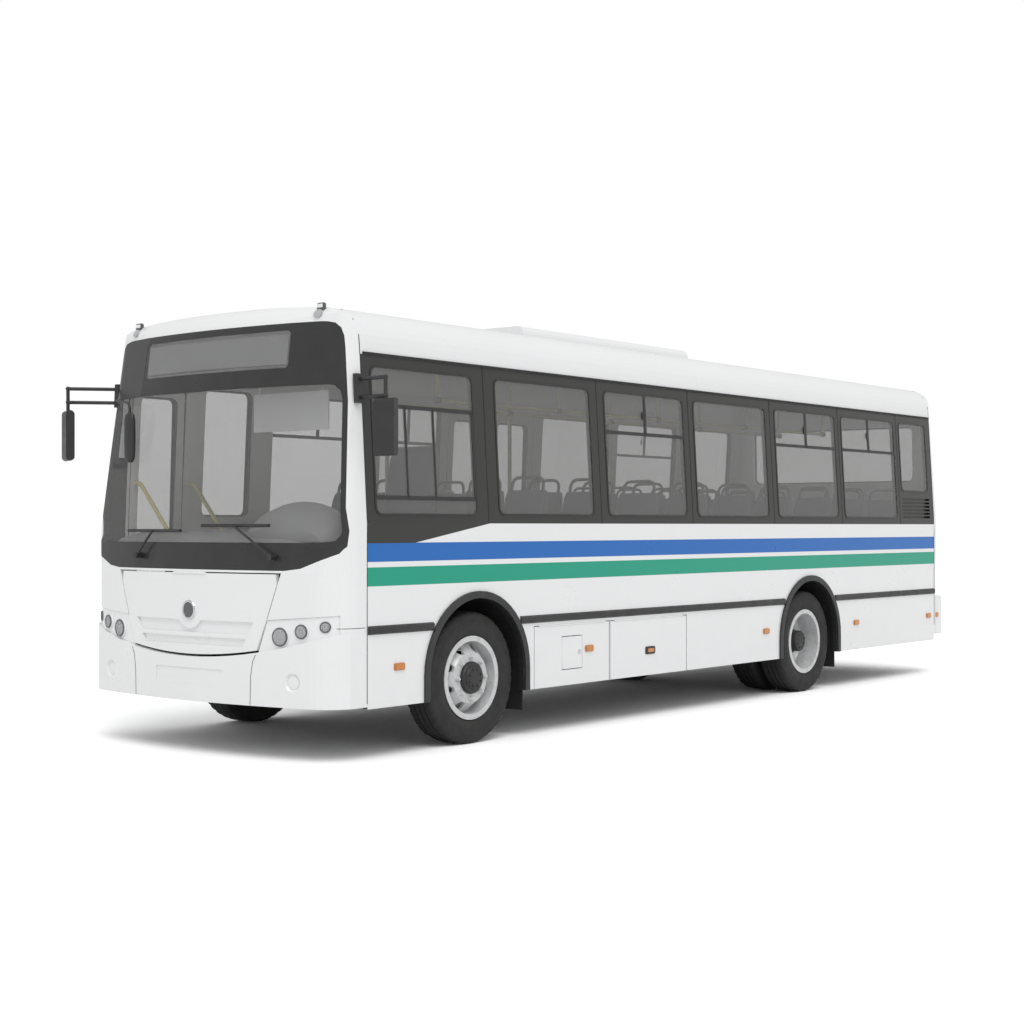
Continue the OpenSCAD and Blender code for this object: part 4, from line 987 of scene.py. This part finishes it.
class BUS_OT_sides(bpy.types.Operator):
    """Add the side lamps' lenses, the catches and locks, the door seals and the mirror glasses."""

    bl_idname = "bus.sides"
    bl_label = "Sides"

    LAMP = (0.104, 0.05)
    # Lamp on each end of the rear bumper: its size and how far it lies behind the seam
    BUMPER_LAMP = (0.06, 0.05)
    BUMPER_LAMP_BACK = 0.07
    # Place from the front axle and height of the lamp on the fore hatch, and the size of its lens
    HATCH_LAMP = (-1.325, 0.6)
    HATCH_LENS = (0.092, 0.038)
    # Body, place from the front axle and height of the latch, and the sizes of its plate and lens
    LATCH = ("hatch_aft", -2.158, 0.538)
    LATCH_PLATE = (0.135, 0.062)
    LATCH_LENS = (0.085, 0.03)
    FUEL_LOCK = (-1.2, 0.582)
    LOCK = [(0.016, 0.0003), (0.016, 0.003), (0.012, 0.005), (0.0005, 0.0048)]
    # Door leaf, and the way from its meeting edge to its middle
    LEAVES = [("front_door", 1), ("mid_door_fore", 1), ("mid_door_aft", -1)]
    # Grip of a door leaf: distance in from the side, and height
    GRIP = [(0.043, 1.02), (0.088, 1.02), (0.088, 1.5), (0.043, 1.5)]
    # Place from the front axle, distance from the middle, low and high edge and turn of each mirror
    MIRRORS = [(1.19, 1.47, 1.98, 2.35, 15), (1.44, -1.47, 2.01, 2.38, -25)]
    MIRROR_W = 0.142

    def execute(self, context):
        self.lamps()
        self.catches()
        self.seals()
        self.mirrors()
        return {"FINISHED"}

    def plate(self, bm, side, x, z, size, low, high, radius=0.012, edge=0.003):
        """Rounded plate on a side wall, between two distances out of its face."""
        layers(bm, lambda u, v, out: on_side(side, x + u, z + v, out), size, radius,
               ((0, low), (0, high - edge), (-edge, high)))

    def fitting(self, name, look, body, at, size, low, high, radius=0.012):
        """Piece of one plate on the left side, placed from the front axle and the ground."""
        bm = bmesh.new()
        self.plate(bm, 1, AXLE_F + at[0], at[1], size, low, high, radius)
        piece(name, bm, look, body)

    def lamps(self):
        bm = bmesh.new()
        for low, high in islands("side_lamps"):
            mid = (low + high) / 2
            self.plate(bm, math.copysign(1, mid.y), mid.x, mid.z, self.LAMP, 0.0003, 0.009)
        x, z = SEAM_R - self.BUMPER_LAMP_BACK, mid.z
        for side in (1, -1):
            at = on_skin(["rear_bumper"], [(Vector((x, 3 * side, z)), Vector((x, 0, z)))])[0]
            out = abs(at.y) - side_y(z)
            self.plate(bm, side, x, z, self.BUMPER_LAMP, out - 0.002, out + 0.008)
        piece("side_lamp_lenses", bm, "lamp_amber")
        at = self.HATCH_LAMP
        self.fitting("hatch_lamp_base", "lamp_amber", "hatch_fore", at, self.LAMP, 0.0005, 0.009)
        self.fitting("hatch_lamp_lens", "lamp_amber", "hatch_fore", at, self.HATCH_LENS, 0.006, 0.0155, 0.006)

    def catches(self):
        body, *at = self.LATCH
        self.fitting("hatch_latch", "black_plastic", body, at, self.LATCH_PLATE, 0.0003, 0.008)
        self.fitting("hatch_latch_lens", "lamp_amber", body, at, self.LATCH_LENS, 0.006, 0.015, 0.006)
        x, z = self.FUEL_LOCK
        bm = bmesh.new()
        turned(bm, self.LOCK, on_side(1, AXLE_F + x, z), (0, 1, 0), 24)
        piece("fuel_lock", bm, "chrome", "fuel_flap", "rim_paint")

    def seals(self):
        """Black rubber on the meeting edges of the doors, and a grip on each leaf."""
        waist = bus().section.waist_h
        for body, way in self.LEAVES:
            low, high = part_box(body)
            x = (low.x if way > 0 else high.x) + way * 0.013
            bm = bmesh.new()
            for z0, z1 in ((low.z + 0.01, waist), (waist, high.z - 0.01)):
                side_strip(bm, -1, x - 0.009, x + 0.009, z0, z1, -0.004, 0.003)
            piece(body + "_seal", bm, "rubber", body)
            bm = bmesh.new()
            tube(bm, bent([(x + way * 0.06, y - HALF_W, z) for y, z in self.GRIP], 0.03), 0.014)
            piece(body + "_grip", bm, "yellow_paint", body)

    def mirrors(self):
        glass, rims = bmesh.new(), bmesh.new()
        for x, y, low, high, turn in self.MIRRORS:
            a = math.radians(turn)
            back = Vector((-math.cos(a), -math.sin(a), 0))
            across = Vector((-math.sin(a), math.cos(a), 0))
            centre = Vector((AXLE_F + x, y, (low + high) / 2)) + back * 0.03
            for bm, grow, near, far in ((rims, 0.0, 0.0004, 0.004), (glass, -0.014, 0.003, 0.0055)):
                layers(bm, lambda u, v, out: centre + across * u + back * out + Vector((0, 0, v)),
                       (self.MIRROR_W + 2 * grow, high - low - 0.03 + 2 * grow), 0.02,
                       ((0, near), (0, far - 0.001), (-0.001, far)))
        piece("mirror_frames", rims, "rubber")
        piece("mirror_glasses", glass, "mirror_glass", slot="glass")


class BUS_OT_rear(bpy.types.Operator):
    """Add the rear window's gasket, the lamp bezels, the lid's handles and the blank plate place."""

    bl_idname = "bus.rear"
    bl_label = "Rear"

    PANE_R = 0.07
    # Gasket: growth past the pane's edge, distance behind the face
    GASKET = [(0.016, 0.0003), (0.014, 0.006), (-0.014, 0.006), (-0.016, 0.0)]
    # Lamp bezel: distance past the lamp's edge, distance behind the face
    BEZEL = [(0.0005, 0.0), (0.012, 0.0004), (0.012, 0.008), (0.007, 0.012), (0.0005, 0.012)]
    PLATE = (0.56, 0.16)
    PLATE_H = 0.66
    HANDLES = (-0.4, 0.4)
    HANDLE_H = 0.66
    # Handle: distance across from its middle, distance behind the face
    HANDLE = [(-0.07, 0.0), (-0.07, 0.03), (0.07, 0.03), (0.07, 0.0)]

    def face(self, y, z, out=0.0):
        """Point on the rear face, a distance behind it."""
        s = bus().section
        bow = TAIL_X + s.rear_bow_r - math.sqrt(s.rear_bow_r ** 2 - y * y)
        return Vector((bow + max(0, z - s.rear_brow_h) * math.tan(s.rear_rake) - out, y, z))

    def execute(self, context):
        low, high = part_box("rear_glass")
        size, mid_h = high - low, (low.z + high.z) / 2
        bm = bmesh.new()
        layers(bm, lambda u, v, out: self.face(u, mid_h + v, out), (size.y, size.z), self.PANE_R,
               self.GASKET, 6, ring=True)
        piece("rear_gasket", bm, "rubber")
        bm = bmesh.new()
        for low, high in islands("rear_lamps"):
            mid, r = (low + high) / 2, (high.z - low.z) / 2
            turned(bm, [(r + past, out) for past, out in self.BEZEL], self.face(mid.y, mid.z), (-1, 0, 0), 40)
        piece("rear_lamp_bezels", bm, "black_plastic")
        bm = bmesh.new()
        layers(bm, lambda u, v, out: self.face(u, self.PLATE_H + v, out), self.PLATE, 0.01,
               ((0, 0.0004), (0, 0.005), (-0.006, 0.007)))
        piece("rear_plate_place", bm, "grey_plastic", "engine_lid")
        bm = bmesh.new()
        for y in self.HANDLES:
            tube(bm, bent([self.face(y + u, self.HANDLE_H, out) for u, out in self.HANDLE], 0.015), 0.007)
        piece("lid_handles", bm, "black_plastic", "engine_lid")
        return {"FINISHED"}


# Inside and underneath


def pad(bm, at, path, width, thick, steps=12):
    """Stuffed pad along a path, given forward and up from a point, crowned and rounded at its ends."""
    path = [Vector((at[0] + x, at[1], at[2] + z)) for x, z in path]
    rings = []
    for i in range(steps + 1):
        t = i / steps
        spot = path[0] * (1 - t) ** 2 + path[1] * 2 * t * (1 - t) + path[2] * t ** 2
        along = ((path[1] - path[0]) * (1 - t) + (path[2] - path[1]) * t).normalized()
        up = along.cross(Vector((0, 1, 0))).normalized()
        full = max(0.12, 1 - abs(2 * t - 1) ** 6) ** 0.4
        outline = rounded(width * (0.86 + 0.14 * full), thick * full, 0.49 * thick * full, 5)
        # The faces swell in the middle of the pad
        rings.append([spot + Vector((0, u, 0)) + up * v * (1.12 - 0.5 * (u / width) ** 2)
                      for u, v in outline])
    loft(bm, rings)


class BUS_OT_seats(bpy.types.Operator):
    """Replace the seat solids by padded seats with grips and legs."""

    bl_idname = "bus.seats"
    bl_label = "Seats"

    # A solid of the seats' node that is wider than this is a double seat
    DOUBLE_W = 0.7
    # Double seat: its place forward in its solid, then cushion, back and leg, forward and up from there
    DOUBLE_X = 0.13
    CUSHION = [(0.0, 0.385), (0.2, 0.395), (0.43, 0.38)]
    BACK = [(0.03, 0.41), (-0.01, 0.68), (-0.085, 1.0)]
    LEG = [(0.05, 0.32), (0.12, 0.02), (0.26, 0.02), (0.33, 0.32)]
    # The leg's distance from the gangway edge
    LEG_IN = 0.17
    # Grip: forward, across as a share of half the seat, and up
    GRIP = [(-0.06, -0.36, 0.88), (-0.098, -0.36, 1.1), (-0.098, 0.36, 1.1), (-0.06, 0.36, 0.88)]
    # Driver's seat: place in its solid, forward and up, and its pads from there
    DRIVER_AT = (0.11, 0.29)
    DRIVER_CUSHION = [(0.0, 0.075), (0.22, 0.085), (0.48, 0.08)]
    DRIVER_BACK = [(0.04, 0.08), (-0.01, 0.5), (-0.09, 1.01)]

    def execute(self, context):
        pads, frames = bmesh.new(), bmesh.new()
        for low, high in islands("seats"):
            make = self.double if high.y - low.y > self.DOUBLE_W else self.driver
            make(pads, frames, low, high)
        cushions = piece("seat_pads", pads, "seat_fabric", sharp=60)
        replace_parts(cushions, "seats")
        piece("seat_frames", frames, "black_plastic", slot="seat_fabric")
        return {"FINISHED"}

    def double(self, pads, frames, low, high):
        x, base = low.x + self.DOUBLE_X, low.z
        half = (high.y - low.y) / 2
        for y in (low.y + 0.5 * half, low.y + 1.5 * half):
            pad(pads, (x, y, base), self.CUSHION, half - 0.012, 0.1)
            pad(pads, (x, y, base), self.BACK, half - 0.02, 0.075)
            tube(frames, bent([(x + u, y + half * v, base + w) for u, v, w in self.GRIP], 0.07, 6), 0.013)
        # Rails under the pads between the leg's ends, then the leg and its foot
        for u, w in (self.LEG[0], self.LEG[-1]):
            tube(frames, [(x + u, y, base + w) for y in (low.y + 0.03, high.y - 0.03)], 0.018)
        foot = low.y + self.LEG_IN if low.y > 0 else high.y - self.LEG_IN
        tube(frames, bent([(x + u, foot, base + w) for u, w in self.LEG], 0.05), 0.016)
        block(frames, (x + 0.06, foot - 0.03, base + 0.0005), (x + 0.32, foot + 0.03, base + 0.012), 0.002)

    def driver(self, pads, frames, low, high):
        x, base = low.x + self.DRIVER_AT[0], low.z + self.DRIVER_AT[1]
        y, width = (low.y + high.y) / 2, high.y - low.y
        pad(pads, (x, y, base), self.DRIVER_CUSHION, width, 0.12)
        pad(pads, (x, y, base), self.DRIVER_BACK, width - 0.02, 0.11)
        block(frames, (x + 0.03, y - 0.19, base - 0.02), (x + 0.44, y + 0.19, base + 0.03), 0.01)
        block(frames, (x + 0.06, low.y + 0.015, low.z + 0.0005), (x + 0.3, low.y + 0.14, base - 0.015), 0.01)


class BUS_OT_saloon(bpy.types.Operator):
    """Add the ceiling lights, the rail brackets, the cab's fittings and the door rails."""

    bl_idname = "bus.saloon"
    bl_label = "Saloon"

    ROOF_T = 0.045
    # Ceiling lights in a row: number, first place from the front axle, distance from the middle
    LIGHTS = (7, -0.6, 0.5)
    # Places of the rail's brackets from the front axle, and the rail's height in its node
    BRACKETS = (-0.7, -2.25, -3.76, -5.3, -6.9)
    RAIL_H = 1.7
    COLLAR = [(0.024, -0.03), (0.026, -0.026), (0.026, 0.026), (0.024, 0.03)]
    FLANGE = [(0.04, 0.0), (0.04, 0.006), (0.02, 0.012)]
    # Half width and height of the shelf below the windscreen
    SHELF_HALF = 1.0
    SHELF_H = 1.5
    # Hood over the dials: place from the shelf's rear edge, half width and height of each section
    HOOD = [(0.0, 0.3, 0.13), (0.04, 0.38, 0.2), (0.12, 0.42, 0.225), (0.2, 0.42, 0.19),
            (0.28, 0.39, 0.12), (0.33, 0.34, 0.04)]
    SWITCHES = 6
    SWITCH_PITCH = 0.045
    DIAL = [(0.062, 0.0), (0.062, 0.012), (0.056, 0.014), (0.054, 0.006), (0.0005, 0.006)]
    # Top of the sun visor, and the distance from the middle where its depth is taken
    VISOR = (2.43, 0.95)
    # Half width, low and high edge of the board behind the upper pane
    SIGN_BOX = (0.705, 2.6, 2.8)
    # Layers of its tray: shrink of the outline, distance behind the front
    SIGN_TRAY = [(0.0, 0.014), (0.0, 0.07), (0.012, 0.07), (0.012, 0.034)]
    # Door rail: distance in from the side, height above the floor
    DOOR_RAIL = [(0.08, 1.05), (0.14, 1.05), (0.52, 0.62), (0.52, 0.001)]

    def execute(self, context):
        self.ceiling()
        self.brackets()
        self.cab()
        self.visor()
        self.sign_box()
        self.door_rails()
        return {"FINISHED"}

    def ceiling(self):
        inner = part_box("roof")[1].z - self.ROOF_T
        number, first, y = self.LIGHTS
        bm = bmesh.new()
        for side in (1, -1):
            for k in reversed(range(number)):
                x = AXLE_F + first - k
                block(bm, (x - 0.42, side * y - 0.05, inner - 0.052),
                      (x + 0.42, side * y + 0.05, inner - 0.018), 0.008)
        piece("ceiling_lights", bm, "lamp_clear")

    def brackets(self):
        bm = bmesh.new()
        low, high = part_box("handrails")
        for y in (high.y - 0.017, 0.017 - high.y):
            for x in self.BRACKETS:
                turned(bm, self.COLLAR, (AXLE_F + x, y, low.z + self.RAIL_H), (1, 0, 0), 20)
                turned(bm, self.FLANGE, (AXLE_F + x, y, high.z - 0.012), (0, 0, 1), 24)
        piece("rail_brackets", bm, "grey_plastic")

    def cab(self):
        """Shelf below the windscreen, across the whole cab, with the dials and their hood."""
        low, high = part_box("dashboard")
        driver_y = middle("steering_wheel").y
        bm = bmesh.new()
        rings = []
        for i in range(-8, 9):
            y = i / 8 * self.SHELF_HALF
            edge = front_x(y, self.SHELF_H) - 0.06
            section = [(edge, 0.12), (edge, 0.08), (edge - 0.03, 0.055), (high.x - 0.06, 0.0),
                       (high.x - 0.11, 0.004), (high.x - 0.135, 0.03), (high.x - 0.135, 0.12)]
            rings.append([(x, y, self.SHELF_H - drop) for x, drop in section])
        loft(bm, rings)
        piece("dash_shelf", bm, "dash_plastic", slot="grey_plastic")
        bm = bmesh.new()
        arc = [math.pi * k / 14 for k in range(15)]
        loft(bm, [[(high.x - 0.11 + x, driver_y + 0.06 + half * math.cos(a),
                    self.SHELF_H - 0.07 + (rise + 0.04) * math.sin(a) ** 0.7) for a in arc]
                  for x, half, rise in self.HOOD])
        piece("dial_hood", bm, "dash_plastic", slot="grey_plastic")
        bm = bmesh.new()
        for k in range(self.SWITCHES):
            y = driver_y - 0.62 + self.SWITCH_PITCH * k
            block(bm, (low.x + 0.115, y, high.z - 0.06), (low.x + 0.145, y + 0.035, high.z - 0.025), 0.003)
        for y in (driver_y - 0.09, driver_y + 0.09):
            turned(bm, self.DIAL, (low.x + 0.108, y, high.z + 0.03), (-1, 0, 0.35), 32)
        piece("dials", bm, "grey_plastic")

    def visor(self):
        """Sun visor on the driver's side."""
        driver_y = middle("steering_wheel").y
        top, y = self.VISOR
        x = front_x(y, top) - 0.154
        bm = bmesh.new()
        block(bm, (x - 0.006, driver_y - 0.42, top - 0.26), (x + 0.006, driver_y + 0.3, top), 0.004)
        for y in (driver_y - 0.36, driver_y + 0.24):
            tube(bm, [(x, y, top - 0.02), (x, y, top + 0.09),
                      (front_x(y, top + 0.1) - 0.012, y, top + 0.1)], 0.006, 8)
        piece("sun_visor", bm, "pale_plastic", slot="grey_plastic")

    def sign_box(self):
        """Blank board behind the upper pane, in a shallow tray."""
        half, low, high = self.SIGN_BOX
        bm = bmesh.new()
        rows = []
        for shrink, back in self.SIGN_TRAY:
            across = [i / 8 * (half - shrink) for i in range(-8, 9)]
            ends = [(y, low + shrink) for y in across] + [(y, high - shrink) for y in reversed(across)]
            rows.append([(front_x(y, z) - back, y, z) for y, z in ends])
        loft(bm, rows)
        piece("sign_board", bm, "dash_plastic", slot="grey_plastic")

    def door_rails(self):
        """Yellow rails beside the steps of both doorways."""
        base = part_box("floor")[1].z
        bm = bmesh.new()
        for door in ("front_door", "mid_door"):
            boxes = [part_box(n) for n in NODES if n.startswith(door) and not n.endswith("glass")]
            rear = min(low.x for low, high in boxes) - 0.05
            fore = min(max(high.x for low, high in boxes) + 0.02, SEAM_F - 0.06)
            for x in (rear, fore):
                tube(bm, bent([(x, y - HALF_W, base + z) for y, z in self.DOOR_RAIL], 0.08), 0.016)
        piece("door_rails", bm, "yellow_paint")


class BUS_OT_under(bpy.types.Operator):
    """Add the drive shaft, the spring bolts, the air tanks and the silencer."""

    bl_idname = "bus.under"
    bl_label = "Underneath"

    JOINT = [(0.07, -0.05), (0.085, -0.04), (0.085, 0.04), (0.07, 0.05)]
    # Bolt that holds a spring: distance from the middle and height; and both bolts' places from the axle
    BOLT = [(0.352, 0.5), (0.352, 0.385), (0.436, 0.385), (0.436, 0.5)]
    BOLTS = (-0.07, 0.07)
    # Air tanks: places from the front axle, distance from the middle and height, section and straps
    TANKS = (-1.35, -2.25)
    TANK_AT = (-0.58, 0.52)
    TANK = [(0.02, -0.4), (0.09, -0.395), (0.115, -0.36), (0.115, 0.36), (0.09, 0.395), (0.02, 0.4)]
    STRAPS = (-0.25, 0.25)
    # Silencer: its section, its distance from the middle and height, and its hangers from its rear end
    SILENCER = [(0.05, -0.4), (0.12, -0.385), (0.135, -0.34), (0.135, 0.34), (0.12, 0.385), (0.05, 0.4)]
    SILENCER_AT = (-0.64, 0.5)
    HANGERS = (0.1, 0.6)

    def execute(self, context):
        low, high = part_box("engine")
        self.shaft(high.x)
        self.tanks()
        self.silencer(low.x + 0.25)
        return {"FINISHED"}

    def shaft(self, x):
        """Drive shaft from the engine to the rear axle, and the bolts of both axles' springs."""
        bm = bmesh.new()
        tube(bm, [(x - 0.01, 0, 0.56), (AXLE_R - 0.19, 0, HUB_H + 0.02)], 0.045, 20)
        for at in ((x + 0.05, 0, 0.555), (AXLE_R - 0.26, 0, HUB_H + 0.03)):
            turned(bm, self.JOINT, at, (1, 0, 0), 24)
        for axle in (AXLE_F, AXLE_R):
            for side in (1, -1):
                for dx in self.BOLTS:
                    tube(bm, bent([(axle + dx, side * y, z) for y, z in self.BOLT], 0.02), 0.009, 8)
        piece("drive_shaft", bm, "dark_steel")

    def tanks(self):
        bm = bmesh.new()
        for x in (AXLE_F + place for place in self.TANKS):
            turned(bm, self.TANK, (x, *self.TANK_AT), (1, 0, 0), 32)
            for at in (x + dx for dx in self.STRAPS):
                block(bm, (at - 0.02, -0.7, 0.4), (at + 0.02, -0.42, 0.412), 0.002)
                block(bm, (at - 0.02, -0.445, 0.41), (at + 0.02, -0.431, 0.69), 0.002)
        piece("air_tanks", bm, "dark_steel")

    def silencer(self, x):
        """Silencer with its pipes and hangers; x is its rear end."""
        y, z = self.SILENCER_AT
        bm = bmesh.new()
        turned(bm, self.SILENCER, (x + 0.35, y, z), (1, 0, 0), 32)
        tube(bm, bent([(x - 0.03, y, z), (x - 0.25, y, z), (x - 0.33, y - 0.06, z - 0.08),
                       (TAIL_X + 0.16, y - 0.06, z - 0.14)], 0.08), 0.045, 16)
        tube(bm, bent([(x + 0.7, y, z), (x + 0.85, y + 0.02, z), (x + 0.85, y + 0.3, z + 0.05)], 0.08),
             0.04, 16)
        for at in (x + dx for dx in self.HANGERS):
            block(bm, (at - 0.015, -0.52, z), (at + 0.015, -0.425, 0.69), 0.002)
        piece("silencer", bm, "dark_steel")


# Stage


class BUS_OT_stage(bpy.types.Operator):
    """Set up the floor, the light and the camera."""

    bl_idname = "bus.stage"
    bl_label = "Stage"

    SHEET_HALF = 60
    KEY_AIM = (-0.42, -0.5, -1.0)
    KEY_SPREAD = math.radians(35)
    SENSOR_W = 36
    FAR = 300

    def execute(self, context):
        scene = context.scene
        scene.view_settings.view_transform = "Standard"
        self.add_floor(scene)
        self.add_light(scene)
        self.add_camera(scene)
        return {"FINISHED"}

    def add_floor(self, scene):
        mesh = bpy.data.meshes.new("floor_sheet")
        bm = bmesh.new()
        bmesh.ops.create_grid(bm, x_segments=1, y_segments=1, size=self.SHEET_HALF)
        bm.to_mesh(mesh)
        bm.free()
        sheet = bpy.data.objects.new("floor_sheet", mesh)
        scene.collection.objects.link(sheet)
        f = Finish("floor_sheet", roughness=0.9, specular_ior_level=0.1)
        pale = tuple(bus().stage.floor)
        seen = f.node("ShaderNodeLightPath").outputs["Is Camera Ray"]
        bright = tuple(bus().stage.lift * c for c in pale)
        f.shade(seen, f.mix(f.noise(0.4), pale, tuple(0.99 * c for c in pale)), bright)
        mesh.materials.append(f.material)

    def add_light(self, scene):
        world = bpy.data.worlds.new("soft_sky")
        scene.world = world
        world.use_nodes = True
        tree = world.node_tree
        back = tree.nodes["Background"]
        back.inputs["Color"].default_value = (1, 1, 1, 1)
        path = tree.nodes.new("ShaderNodeLightPath")
        seen = tree.nodes.new("ShaderNodeMath")
        seen.operation = "MAXIMUM"
        tree.links.new(path.outputs["Is Camera Ray"], seen.inputs[0])
        tree.links.new(path.outputs["Is Transmission Ray"], seen.inputs[1])
        strength = tree.nodes.new("ShaderNodeMapRange")
        strength.inputs[3].default_value = bus().stage.sky
        tree.links.new(seen.outputs[0], strength.inputs[0])
        tree.links.new(strength.outputs[0], back.inputs["Strength"])
        key = bpy.data.objects.new("key", bpy.data.lights.new("key", "SUN"))
        key.data.energy = bus().stage.key
        key.data.angle = self.KEY_SPREAD
        key.rotation_euler = Vector(self.KEY_AIM).to_track_quat("-Z", "Y").to_euler()
        scene.collection.objects.link(key)

    def add_camera(self, scene):
        s = bus().stage
        camera = bpy.data.objects.new("camera", bpy.data.cameras.new("camera"))
        camera.location = (AXLE_F + s.ahead, s.beside, s.eye)
        look = Vector((-math.cos(s.yaw), -math.sin(s.yaw), 0))
        camera.rotation_euler = look.to_track_quat("-Z", "Y").to_euler()
        camera.data.lens = s.lens
        camera.data.sensor_width = self.SENSOR_W
        camera.data.shift_y = s.rise
        camera.data.clip_end = self.FAR
        scene.collection.objects.link(camera)
        scene.camera = camera


class BusSettings(bpy.types.PropertyGroup):
    """All settings of the bus."""

    paint: PointerProperty(type=BusPaint)
    section: PointerProperty(type=BusSection)
    stage: PointerProperty(type=BusStage)


OPERATORS = [BUS_OT_finishes, BUS_OT_windows, BUS_OT_wheels, BUS_OT_front, BUS_OT_sides, BUS_OT_rear,
             BUS_OT_seats, BUS_OT_saloon, BUS_OT_under, BUS_OT_stage]


class BUS_PT_panel(bpy.types.Panel):
    """Lists the settings and the steps that dress the bus."""

    bl_idname = "BUS_PT_panel"
    bl_label = "Single-Deck Bus"
    bl_space_type = "VIEW_3D"
    bl_region_type = "UI"
    bl_category = "Bus"

    def draw(self, context):
        for group in (bus().paint, bus().section, bus().stage):
            box = self.layout.box()
            for name in group.__annotations__:
                box.prop(group, name)
        for operator in OPERATORS:
            self.layout.operator(operator.bl_idname)


CLASSES = [BusPaint, BusSection, BusStage, BusSettings, *OPERATORS, BUS_PT_panel]


def register():
    for cls in CLASSES:
        bpy.utils.register_class(cls)
    bpy.types.Scene.bus = PointerProperty(type=BusSettings)


def unregister():
    del bpy.types.Scene.bus
    for cls in reversed(CLASSES):
        bpy.utils.unregister_class(cls)


def main():
    register()
    for operator in OPERATORS:
        group, name = operator.bl_idname.split(".")
        getattr(getattr(bpy.ops, group), name)()


if __name__ == "__main__":
    main()
